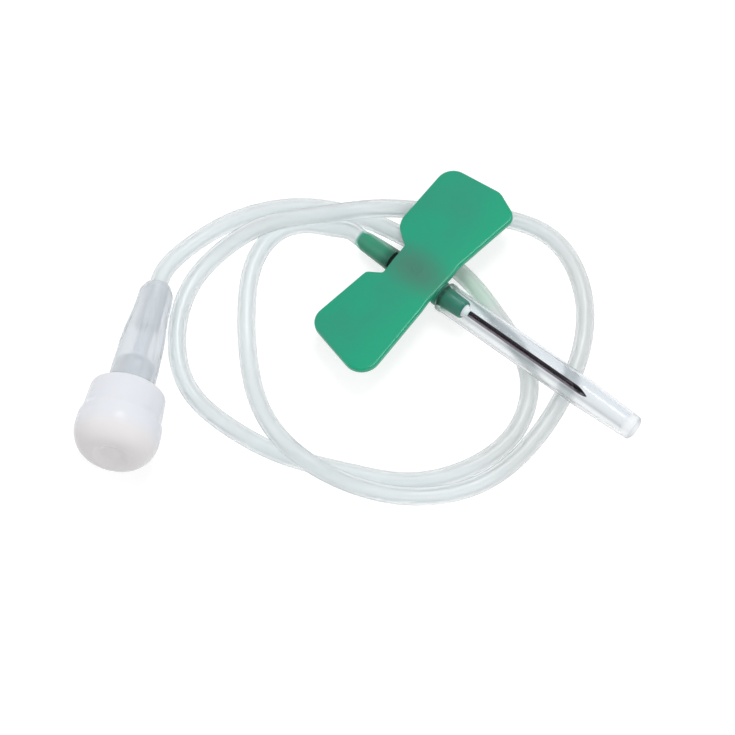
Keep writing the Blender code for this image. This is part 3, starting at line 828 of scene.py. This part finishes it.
# Pieces
@dataclass(frozen=True)
class Wing:
    """Outline of one wing: reach and steps, slopes of its edges and radii of its corners."""

    side: float
    reach: float
    rear_step: float
    front_step: float
    rear_flare: float
    front_flare: float
    slant: float
    tip_round: float
    notch: Span
    shoulder: float
    facet: Span | None = None
    root: float = 3.9 * MM
    notch_round: float = 0.5 * MM
    rear_round: float = 2.3 * MM
    facet_rounds: Span = (2.0 * MM, 1.6 * MM)
    neck: float = 2.3 * MM
    neck_round: float = 1.1 * MM

    def corners(self, waist_rear: float, waist_front: float) -> list[Place]:
        """Return the corners from the waist's rear round to its front.

        The arc in the front corner has its centre one radius inside the front edge and one radius
        inside the reach. The end is the line y = base + tan(slant) x that touches this arc, and the
        tip's corners are where it meets the front and rear edges. A facet, given by the station
        where it starts and its slope, cuts the front one: it falls from the end to the front edge.

        Args:
            waist_rear: station of the waist's rear edge.
            waist_front: station of the waist's front edge.

        Returns:
            Station, y and radius of each corner.
        """
        rear, front = waist_rear - self.rear_step, waist_front + self.front_step
        back, fore, lean = (math.tan(math.radians(angle))
                            for angle in (self.rear_flare, self.front_flare, self.slant))
        high = self.reach - self.tip_round
        centre = front + fore * (high - self.root) - self.tip_round / math.cos(math.atan(fore))
        base = high + self.tip_round / math.cos(math.atan(lean)) - lean * centre
        front_tip = (front + fore * (base - self.root)) / (1.0 - fore * lean)
        rear_tip = (rear - back * (base - self.root)) / (1.0 + back * lean)
        tip = [(front_tip, base + lean * front_tip, self.tip_round)]
        if self.facet:
            start, drop = self.facet[0], math.tan(math.radians(self.facet[1]))
            top = base + lean * start
            meet = (front + fore * (top + drop * start - self.root)) / (1.0 + fore * drop)
            tip = [(start, top, self.facet_rounds[0]),
                   (meet, top - drop * (meet - start), self.facet_rounds[1])]
        path = [
            (waist_rear + self.notch[0], self.notch[1], self.notch_round),
            (rear, self.root, self.shoulder),
            (rear_tip, base + lean * rear_tip, self.rear_round),
            *tip,
            (front, self.root, self.neck_round),
            (waist_front, self.neck, self.neck_round),
        ]
        return [(station, self.side * y, radius) for station, y, radius in path]


WIDE_WING = Wing(1.0, 15.28 * MM, 2.75 * MM, -0.15 * MM, 2.3, 6.0, 6.5, 3.8 * MM,
                 (0.05 * MM, 2.0 * MM), 2.8 * MM, facet=(10.25 * MM, 23.5))
NARROW_WING = Wing(-1.0, 15.6 * MM, 1.33 * MM, 0.2 * MM, 6.4, 3.6, 13.0, 2.5 * MM,
                   (0.45 * MM, 2.75 * MM), 0.8 * MM)


@dataclass
class WingHub:
    """Wing plate with the barrel, stub and nose moulded under it.

    The rows of stub, barrel, nose and well hold along, radius and rounding in millimetres. The
    barrel's are counted from the waist's front edge and the barrel's radius, the nose's from its
    face and the barrel's radius, and the well's from the nose's face.
    """

    waist_rear: float = 5.6 * MM
    waist_front: float = 13.2 * MM
    nose_face: float = 17.1 * MM
    barrel_radius: float = 1.4 * MM
    plate_bottom: float = 0.75 * MM
    plate_top: float = 1.7 * MM
    low_round: float = 0.3 * MM
    top_round: Span = (0.24 * MM, 0.22 * MM)
    top_drop: float = 0.225 * MM
    flats: Span = (0.9 * MM, 0.45 * MM)
    outline_points: int = 520
    fluid_end: Knots = ((0.0, 0.35, 0.0),)
    stub: Knots = ((0.0, 0.62, 0.15), (0.8, 0.90, 0.4), (5.6, 1.22, 0.08))
    barrel_rows: Knots = ((-7.15, 0.0, 0.15), (-0.6, 0.0, 0.15), (-0.4, 0.25, 0.12),
                          (0.2, 0.25, 0.1), (0.25, 0.0, 0.05), (1.1, 0.0, 0.2), (1.6, -0.1, 0.4))
    nose: Knots = ((-0.25, -0.2, 0.2), (0.0, -0.32, 0.08))
    well: Knots = ((0.0, 0.9, 0.05), (-0.6, 0.87, 0.05), (-0.6, 0.5, 0.0), (-8.6, 0.5, 0.0),
                   (-8.6, 0.35, 0.0))
    mark_at: Span = (9.3 * MM, 0.3 * MM)
    mark_columns: int = 48
    mark: tuple[Span, ...] = ((-0.05, 0.0), (-0.05, 0.9), (0.0, 0.9), (0.012, 0.8), (0.012, 0.6),
                              (0.004, 0.45), (0.004, 0.0))

    def plate(self, material: Finish) -> Piece:
        """Make the plate by carrying an edge profile round its outline.

        The point of profile row k and outline point j is the outline point moved inwards along its
        unit normal by the row's inset, at the row's height. The last rows close as flat faces.

        Args:
            material: finish of the plate.

        Returns:
            The new object.
        """
        path = [corner for wing, way in ((WIDE_WING, 1), (NARROW_WING, -1))
                for corner in wing.corners(self.waist_rear, self.waist_front)[::way]]
        outline = resample(fillet(path, closed=True, steps=10), self.outline_points, closed=True)
        tangent = np.roll(outline, -1, axis=0) - np.roll(outline, 1, axis=0)
        tangent /= np.linalg.norm(tangent, axis=1)[:, None]
        normal = np.column_stack([-tangent[:, 1], tangent[:, 0]])
        if np.sum((outline.mean(axis=0) - outline) * normal) < 0.0:
            normal = -normal
        quarter = np.radians(np.linspace(0.0, 90.0, 9))
        low = self.low_round * (1.0 - np.column_stack([np.sin(quarter), np.cos(quarter)]))
        top = self.top_round * np.column_stack([1.0 - np.cos(quarter), np.sin(quarter)])
        height = self.plate_top - self.plate_bottom
        rows = np.vstack([[[self.flats[0], 0.0]], low, top + [0.0, height - self.top_drop],
                          [[self.flats[1], height]]])
        ring = outline[None, :, :] + normal[None, :, :] * rows[:, None, :1]
        lift = np.broadcast_to(rows[:, 1, None] + self.plate_bottom, ring.shape[:2])
        points = HUB.place(np.concatenate([ring, lift[..., None]], axis=-1).reshape(-1, 3))
        count = len(outline)
        ends = np.array([np.arange(count), np.arange(count) + (len(rows) - 1) * count])
        faces = [wrapped_quads(len(rows), count), ends]
        piece = Tag("wing_plate", Body.SET, Slot.GREEN).solid(points, faces, material)
        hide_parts("wing_hub")
        return piece

    def barrel(self, material: Finish) -> Piece:
        """Make stub, barrel, collar and nose as one turned shell with its fluid bore and well.

        Args:
            material: finish of the shell.

        Returns:
            The new object.
        """
        path = (corners(self.fluid_end) + corners(self.stub)
                + corners(self.barrel_rows, self.waist_front, self.barrel_radius)
                + corners(self.nose, self.nose_face, self.barrel_radius)
                + corners(self.well, self.nose_face))
        return Tag("hub_barrel", Body.SET, Slot.GREEN).turned(fillet(path), HUB, material)

    def gate_mark(self, material: Finish) -> Piece:
        """Make the low round mark that the mould leaves on the plate.

        Args:
            material: finish of the mark.

        Returns:
            The new object.
        """
        middle = HUB.place(np.array([*self.mark_at, self.plate_top]))
        up = Axis(tuple(middle), 0.0, math.pi / 2.0 + HUB_PITCH)
        tag = Tag("gate_mark", Body.SET, Slot.GREEN)
        return tag.turned(np.array(self.mark) * MM, up, material, self.mark_columns, closed=False)


@dataclass
class Needle:
    """Steel cannula with a bevel and two lancet facets, and the glue at its root."""

    radius: float = 0.4 * MM
    bore: float = 0.26 * MM
    rear: float = 8.6 * MM
    tip: float = 37.1 * MM
    face: float = 17.1 * MM
    bevel: float = math.radians(14.0)
    lancet: float = math.radians(20.0)
    lancet_turn: float = math.radians(32.0)
    lancet_start: float = 1.1 * MM
    rings: int = 40
    columns: int = 64
    bead: Knots = ((-0.5, 0.41, 0.0), (-0.5, 0.84, 0.05), (0.02, 0.87, 0.05), (0.2, 0.75, 0.3),
                   (0.42, 0.52, 0.3), (0.75, 0.41, 0.0))

    def reach(self, angle: np.ndarray, radius: float) -> np.ndarray:
        """Work out the station at which the wall ends at each angle round the needle.

        The bevel plane ends the wall at tip - (z + r) / tan(bevel). Each lancet plane, turned to a
        side, ends it at tip - start - (z' - z0) / tan(lancet). The least of the three holds.

        Args:
            angle: angles round the needle, from its top.
            radius: radius of the wall.

        Returns:
            The station at each angle.
        """
        high, across = radius * np.cos(angle), radius * np.sin(angle)
        slope, turn = math.tan(self.bevel), self.lancet_turn
        base = self.lancet_start * slope - self.radius
        ends = [self.tip - (high + self.radius) / slope]
        for hand in (1.0, -1.0):
            turned = high * math.cos(turn) + hand * across * math.sin(turn)
            ends.append(self.tip - self.lancet_start - (turned - base) / math.tan(self.lancet))
        return np.minimum.reduce(ends)

    def cannula(self, material: Finish) -> Piece:
        """Make the tube: outer wall, ground face and bore as one closed grid of rings.

        Args:
            material: finish of the tube.

        Returns:
            The new object.
        """
        angle = around(self.columns)
        share = np.linspace(0.0, 1.0, self.rings)[:, None]
        walls = []
        for radius, way in ((self.radius, share), (self.bore, share[::-1])):
            along = self.rear + (self.reach(angle, radius)[None, :] - self.rear) * way
            side, high = (np.broadcast_to(radius * part, along.shape)
                          for part in (np.sin(angle), np.cos(angle)))
            walls.append(np.stack([along, side, high], axis=-1))
        grid = np.concatenate(walls)
        points = HUB.place(grid.reshape(-1, 3))
        faces = [wrapped_quads(len(grid), self.columns, True)]
        piece = Tag("cannula", Body.SET, Slot.STEEL).solid(points, faces, material)
        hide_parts("needle_cannula")
        return piece

    def glue(self, material: Finish) -> Piece:
        """Make the domed bead that fills the well and creeps up the needle.

        Args:
            material: finish of the bead.

        Returns:
            The new object.
        """
        profile = fillet(corners(self.bead, self.face))
        tag = Tag("glue_bead", Body.SET, Slot.GLUE)
        piece = tag.turned(profile, HUB, material, self.columns)
        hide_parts("needle_adhesive")
        return piece


@dataclass
class Sheath:
    """Clear moulded tube over the needle, with a beaded mouth and a closed, rounded end."""

    mouth: float = 13.7 * MM
    end: float = 44.1 * MM
    radius: float = 1.88 * MM
    wall: float = 0.28 * MM
    end_radius: float = 1.55 * MM
    taper: float = 8.0 * MM
    taper_round: float = 6.0 * MM
    end_wall: float = 1.1 * MM
    inner_round: float = 0.5 * MM
    mouth_round: float = 0.08 * MM
    bead: Knots = ((0.0, 0.1, 0.12), (0.6, 0.1, 0.2), (0.9, 0.0, 0.2))
    closed_end: Knots = ((-0.12, 0.0, 0.45), (0.0, -0.5, 0.3))
    dent: float = 0.1 * MM
    columns: int = 128

    def make(self, material: Finish) -> Piece:
        """Make the sheath as one closed turned shell.

        Args:
            material: finish of the sheath.

        Returns:
            The new object.
        """
        floor, turn = self.end - self.end_wall, self.end - self.taper
        inner = self.radius - self.wall
        path = [
            (floor, 0.0, 0.0), (floor, self.end_radius - self.wall, self.inner_round),
            (turn, inner, self.taper_round), (self.mouth, inner, self.mouth_round),
            *corners(self.bead, self.mouth, self.radius), (turn, self.radius, self.taper_round),
            *corners(self.closed_end, self.end, self.end_radius), (self.end - self.dent, 0.0, 0.0),
        ]
        tag = Tag("sheath", Body.SHEATH, Slot.SHEATH)
        piece = tag.turned(fillet(path, steps=8), HUB, material, self.columns, closed=False)
        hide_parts("needle_sheath")
        return piece


@dataclass
class Tubing:
    """Soft clear tube, pushed over the stub, looped on the table and glued into the connector.

    The route holds x and y in millimetres on the table and the share of a layer by which the tube
    is lifted where it lies over another strand.
    """

    radius: float = 1.15 * MM
    bore: float = 0.65 * MM
    length: float = 0.300
    grip: float = 5.25 * MM
    stretch: float = 0.03 * MM
    relax: float = 2.0 * MM
    lie: float = 0.05 * MM
    gap: float = 0.3 * MM
    leaves: Span = (-0.3 * MM, -1.8 * MM)
    enters: tuple[float, ...] = (-1.5 * MM, 0.0, 3.5 * MM, 6.7 * MM)
    route: Knots = (
        (-25.6, -0.8, 0.05), (-28.4, -2.4, 0.0), (-30.6, -5.2, 0.0), (-30.87, -9.2, 0.0),
        (-27.46, -15.78, 0.0), (-21.95, -21.76, 0.05), (-15.6, -26.4, 0.5), (-8.0, -28.4, 1.0),
        (-0.37, -26.74, 0.68), (6.42, -22.51, 0.38), (11.01, -15.86, 0.14), (12.17, -7.99, 0.0),
        (11.1, -0.22, 0.0), (8.2, 7.3, 0.0), (3.07, 13.19, 0.0), (-4.2, 15.9, 0.0),
        (-11.7, 13.3, 0.0), (-18.35, 8.86, -0.1), (-22.8, 3.7, 0.93), (-27.23, -1.27, 1.0),
        (-31.6, -6.6, 0.95), (-34.36, -12.38, 0.15), (-34.32, -18.35, 0.0), (-31.15, -24.83, 0.0),
        (-25.0, -29.6, 0.0), (-17.59, -30.27, 0.0), (-9.8, -28.7, 0.0), (-2.83, -25.52, 0.0),
        (3.7, -21.7, 0.0), (8.38, -15.39, 0.0), (9.59, -7.39, 0.0), (5.8, -0.6, 0.0),
        (-1.4, 2.7, 0.0), (-9.1, 4.6, 0.0), (-17.0, 4.1, 0.0), (-24.76, 2.24, 0.0),
        (-31.49, -1.82, 0.0), (-36.18, -8.37, 0.0), (-37.95, -15.04, 0.1),
    )
    stations: int = 760
    columns: int = 36

    def path(self) -> np.ndarray:
        """Lay the tube's middle line: the stub, the route on the table, then the socket.

        Returns:
            Points of the line.
        """
        floor = TABLE_Z + self.radius + self.lie
        layer = 2.0 * self.radius + self.gap
        table = np.array(self.route)
        plan = table[:, :2] * MM + (SHIFT_X, SHIFT_Y)
        laid = np.column_stack([plan, floor + table[:, 2] * layer])
        held = (self.grip, self.grip / 2.0)
        start = [HUB.at(station) for station in (*held, *self.leaves)]
        end = [LUER.at(station) for station in self.enters]
        line = natural_spline(np.vstack([start, laid, end]), self.stations)
        line[:, 2] = np.maximum(line[:, 2], floor)
        return line

    def bores(self, run: np.ndarray, stub: Knots) -> tuple[np.ndarray, np.ndarray]:
        """Work out bore and outer radius along the tube, stretched over the stub.

        The bore follows the stub and the wall keeps the area of its section, so that the outer
        radius is the root of bore squared plus the plain tube's outer less inner radius squared.

        Args:
            run: distance along the tube.
            stub: along, radius and rounding of the stub's corners, in millimetres.

        Returns:
            Bore and outer radius at each distance.
        """
        corner = np.array(stub) * MM
        stations = np.concatenate(([-self.relax], corner[:, 0]))
        radii = np.concatenate(([self.bore], corner[:, 1] - self.stretch))
        bore = np.interp(self.grip - run, stations, radii)
        bore = np.where(run > self.grip + self.relax, self.bore, bore)
        return bore, np.sqrt(bore ** 2 + self.radius ** 2 - self.bore ** 2)

    def make(self, material: Finish, stub: Knots) -> Piece:
        """Make the tube as one closed grid: outer wall forwards, bore backwards.

        The point at station i and angle a is the middle line plus r (side cos a + up sin a), side
        being level and at right angles to the tangent, and up their cross product.

        Args:
            material: finish of the tube.
            stub: rows of the stub, in millimetres.

        Returns:
            The new object.
        """
        line = self.path()
        run = running_length(line)
        tangent = np.gradient(line, axis=0)
        tangent /= np.linalg.norm(tangent, axis=1)[:, None]
        side = np.cross(tangent, [0.0, 0.0, 1.0])
        side /= np.linalg.norm(side, axis=1)[:, None]
        up = np.cross(side, tangent)
        bore, outer = self.bores(run, stub)
        angle = around(self.columns)[None, :, None]
        spokes = side[:, None, :] * np.cos(angle) + up[:, None, :] * np.sin(angle)
        skin = line[:, None, :] + spokes * outer[:, None, None]
        lining = (line[:, None, :] + spokes * bore[:, None, None])[::-1]
        grid = np.concatenate([skin, lining])
        faces = [wrapped_quads(len(grid), self.columns, True)]
        piece = Tag("tube", Body.SET, Slot.TUBE).solid(grid.reshape(-1, 3), faces, material)
        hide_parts("tubing")
        log.info("tube: middle line %.1f mm", run[-1] / MM)
        return piece


@dataclass
class Connector:
    """Clear female luer with a tube socket, long ribs and two locking ears.

    The rows of shell and inside hold along, radius and rounding in millimetres.
    """

    shell: Knots = ((0.0, 1.2, 0.0), (0.0, 1.65, 0.12), (1.0, 2.15, 0.9), (4.5, 2.3, 2.0),
                    (9.5, 2.775, 3.0), (12.4, 2.925, 3.0), (19.85, 2.925, 0.15), (19.85, 2.2, 0.0))
    inside: Knots = ((19.85, 2.15, 0.1), (11.85, 1.91, 0.1), (11.85, 0.75, 0.05),
                     (7.0, 0.75, 0.05), (7.0, 1.18, 0.05), (0.0, 1.2, 0.0))
    rows: int = 260
    columns: int = 288
    ribs: int = 6
    rib_heights: tuple[Span, ...] = ((2.0, 0.0), (7.5, 0.2), (9.5, 0.15), (12.4, 0.0))
    rib_half: float = 0.48 * MM
    rib_flank: float = 0.22 * MM
    ear_radius: float = 3.9 * MM
    ear_half: float = 1.8 * MM
    ear_flank: float = 0.2 * MM
    ear_stations: tuple[Span, ...] = ((18.1, 0.0), (18.25, 1.0), (19.6, 1.0), (19.75, 0.0))

    def outside(self) -> tuple[np.ndarray, np.ndarray]:
        """Work out the outer profile and what the ribs and ears add to it at each row and angle.

        A rib adds its height times a smooth window of 0.7 mm round its angle; the height rises from
        the rear to the neck and dies away where the body begins. An ear lifts the radius to its own
        where the point is within 1.7 mm of the level plane through the axis.

        Returns:
            The profile's rows, and the radius to add at each row and column.
        """
        body = resample(fillet(corners(self.shell)), self.rows)
        along, radius = body[:, 0], body[:, 1]
        angle = around(self.columns)
        station, height = np.array(self.rib_heights).T * MM
        pitch = 2.0 * np.pi / self.ribs
        beside = np.abs((angle / pitch + 0.5) % 1.0 - 0.5)[None, :] * pitch * radius[:, None]
        window = np.clip((self.rib_half - beside) / self.rib_flank, 0.0, 1.0)
        rib = np.interp(along, station, height)[:, None] * window ** 2 * (3.0 - 2.0 * window)
        place, share = np.array(self.ear_stations).T
        level = np.abs(self.ear_radius * np.cos(angle))
        side = np.clip((self.ear_half - level) / self.ear_flank, 0.0, 1.0)[None, :]
        ear = (self.ear_radius - radius)[:, None] * np.interp(along, place * MM, share)[:, None]
        return body, np.maximum(rib, ear * side)

    def make(self, material: Finish) -> Piece:
        """Make the connector as one closed grid: outside forwards, socket, bore and cone backwards.

        Args:
            material: finish of the connector.

        Returns:
            The new object.
        """
        body, bulge = self.outside()
        inside = fillet(corners(self.inside))
        skin = turned_grid(body, self.columns, bulge)
        lining = turned_grid(inside, self.columns)
        points = LUER.place(np.concatenate([skin, lining]))
        faces = [wrapped_quads(len(body) + len(inside), self.columns, True)]
        piece = Tag("connector", Body.SET, Slot.LUER).solid(points, faces, material)
        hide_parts("luer_connector")
        return piece


@dataclass
class Cap:
    """Milky cap with a skirt round the ears, a plug in the luer and a dished end.

    The rows of dish and skirt hold along, radius and rounding in millimetres, the dish's counted
    from the cap's end and the skirt's from its rim.
    """

    rim: float = 16.4 * MM
    length: float = 9.4 * MM
    dome_radius: float = 5.35 * MM
    dome_length: float = 3.6 * MM
    end_radius: float = 2.6 * MM
    dome_angles: tuple[float, float, int] = (88.0, 0.0, 33)
    columns: int = 128
    dish: Knots = ((-0.5, 0.0, 0.0), (-0.5, 1.3, 1.2), (-0.05, 2.3, 0.6), (-0.02, 2.6, 0.0))
    skirt: Knots = ((5.7, 5.35, 0.0), (4.4, 5.3, 0.5), (3.5, 4.98, 0.6), (0.0, 4.75, 0.18),
                    (0.0, 4.1, 0.15), (7.4, 4.1, 0.6), (7.4, 2.05, 0.3), (3.45, 2.05, 0.3),
                    (0.25, 1.93, 0.25), (0.25, 0.0, 0.0))

    def make(self, material: Finish) -> Piece:
        """Make the cap as one closed turned shell.

        The dome is a quarter of an ellipse: at angle t the station is end - length (1 - sin t) and
        the radius is the end's plus (dome - end) cos t.

        Args:
            material: finish of the cap.

        Returns:
            The new object.
        """
        end = self.rim + self.length
        swing = np.radians(np.linspace(*self.dome_angles))
        dome = np.column_stack([
            end - self.dome_length * (1.0 - np.sin(swing)),
            self.end_radius + (self.dome_radius - self.end_radius) * np.cos(swing),
        ])
        dish = fillet(corners(self.dish, end), steps=10)
        skirt = fillet(corners(self.skirt, self.rim), steps=10)
        profile = np.concatenate([dish[:-1], dome, skirt])
        tag = Tag("cap", Body.CAP, Slot.CAP)
        piece = tag.turned(profile, LUER, material, self.columns, closed=False)
        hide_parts("luer_cap")
        return piece


# Studio
@dataclass
class Lamp:
    """Soft area lamp aimed at the set."""

    name: str
    azimuth: float
    elevation: float
    distance: float
    size: float
    power: float

    def make(self, target: Vector) -> None:
        """Hang the lamp round the target, facing it.

        Args:
            target: point that it faces.
        """
        data = bpy.data.lights.new(self.name, "AREA")
        data.shape = "DISK"
        data.size = self.size
        data.energy = self.power
        lamp = bpy.data.objects.new(self.name, data)
        turn, rise = math.radians(self.azimuth), math.radians(self.elevation)
        level = math.cos(rise)
        way = Vector((math.sin(turn) * level, -math.cos(turn) * level, math.sin(rise)))
        lamp.location = target + way * self.distance
        lamp.rotation_euler = way.to_track_quat("Z", "Y").to_euler()
        bpy.context.scene.collection.objects.link(lamp)


@dataclass
class Studio:
    """White table, pale surroundings, soft lamps and the camera."""

    target: Place = on_table(-10.28, -12.58, 0.0)
    camera_at: Place = on_table(113.13, -157.27, 407.84)
    lens: float = 176.3
    near: float = 0.01
    world_light: float = 0.62
    sky: Stops = ((0.35, (1.0, 1.0, 1.0)), (0.8, (0.26, 0.26, 0.27)))
    floor_colour: Colour = (0.42, 0.42, 0.42)
    floor_glow: float = 0.72
    floor_bounce: float = 0.2
    floor_half: float = 3.0
    lamps: list[Lamp] = field(default_factory=lambda: [
        Lamp("key_lamp", 205.0, 66.0, 0.7, 0.28, 1.5),
        Lamp("left_lamp", 300.0, 35.0, 0.7, 0.5, 0.7),
        Lamp("right_lamp", 80.0, 35.0, 0.7, 0.5, 1.1),
    ])

    def camera(self) -> None:
        """Set the camera at the photograph's angle."""
        data = bpy.data.cameras.new("camera")
        data.lens = self.lens
        data.clip_start = self.near
        camera = bpy.data.objects.new("camera", data)
        camera.location = self.camera_at
        way = Vector(self.target) - Vector(self.camera_at)
        camera.rotation_euler = way.to_track_quat("-Z", "Y").to_euler()
        bpy.context.scene.collection.objects.link(camera)
        bpy.context.scene.camera = camera

    def world(self) -> None:
        """Light evenly; what is seen or mirrored is white low down and grey overhead."""
        world = bpy.data.worlds.new("studio")
        world.use_nodes = True
        bpy.context.scene.world = world
        world.node_tree.nodes.clear()
        tree = Tree(world.node_tree)
        way = tree.add("ShaderNodeTexCoord", "Generated", {})
        height = tree.add("ShaderNodeSeparateXYZ", "Z", {"Vector": way})
        light = tree.add("ShaderNodeBackground", "Background", {"Strength": self.world_light})
        sky = {"Color": tree.ramp(height, self.sky)}
        seen = tree.add("ShaderNodeBackground", "Background", sky)
        output = world.node_tree.nodes.new("ShaderNodeOutputWorld")
        tree.link(tree.mix(tree.in_sight(), light, seen), output.inputs["Surface"])

    def floor(self) -> None:
        """Lay the white table, which glows a little where it is seen, mirrored or seen through."""
        nodes = Nodes("table_white")
        nodes.set(Base_Color=(*self.floor_colour, 1.0), Roughness=0.7, Specular_IOR_Level=0.1)
        glow = nodes.add("ShaderNodeEmission", "Emission", {"Strength": self.floor_glow})
        dark = nodes.add("ShaderNodeEmission", "Emission", {"Strength": self.floor_bounce})
        parts = {0: nodes.shader.outputs["BSDF"], 1: nodes.mix(nodes.in_sight(), dark, glow)}
        both = nodes.add("ShaderNodeAddShader", "Shader", parts)
        nodes.link(both, nodes.output.inputs["Surface"])
        half = self.floor_half
        edge = [(-half, -half, TABLE_Z), (half, -half, TABLE_Z), (half, half, TABLE_Z),
                (-half, half, TABLE_Z)]
        mesh = bpy.data.meshes.new("table_top")
        mesh.from_pydata(edge, [], [(0, 1, 2, 3)])
        mesh.materials.append(nodes.material)
        table = bpy.data.objects.new("table_top", mesh)
        bpy.context.scene.collection.objects.link(table)

    def make(self) -> None:
        """Set up the whole studio."""
        self.camera()
        self.world()
        self.floor()
        for lamp in self.lamps:
            lamp.make(Vector(self.target))
        bpy.context.scene.view_settings.view_transform = "Standard"
        log.info("studio: camera, table and %d lamps", len(self.lamps))


def main() -> None:
    logging.basicConfig(level=logging.INFO, format="%(name)s: %(message)s")
    Studio().make()
    hub, needle, tubing = WingHub(), Needle(), Tubing()
    tube = tubing.make(TUBE_CLEAR.make(), hub.stub)
    connector = Connector().make(LUER_CLEAR.make())
    cap = Cap().make(MilkyCap().make())
    [tuple(point) for point in tubing.path()]
    hub.plate(PLATE_GREEN.make())
    hub.barrel(BARREL_GREEN.make())
    hub.gate_mark(MARK_GREEN.make())
    needle.cannula(NeedleSteel().make())
    needle.glue(SetGlue().make())
    Sheath().make(SHEATH_CLEAR.make())


if __name__ == "__main__":
    main()
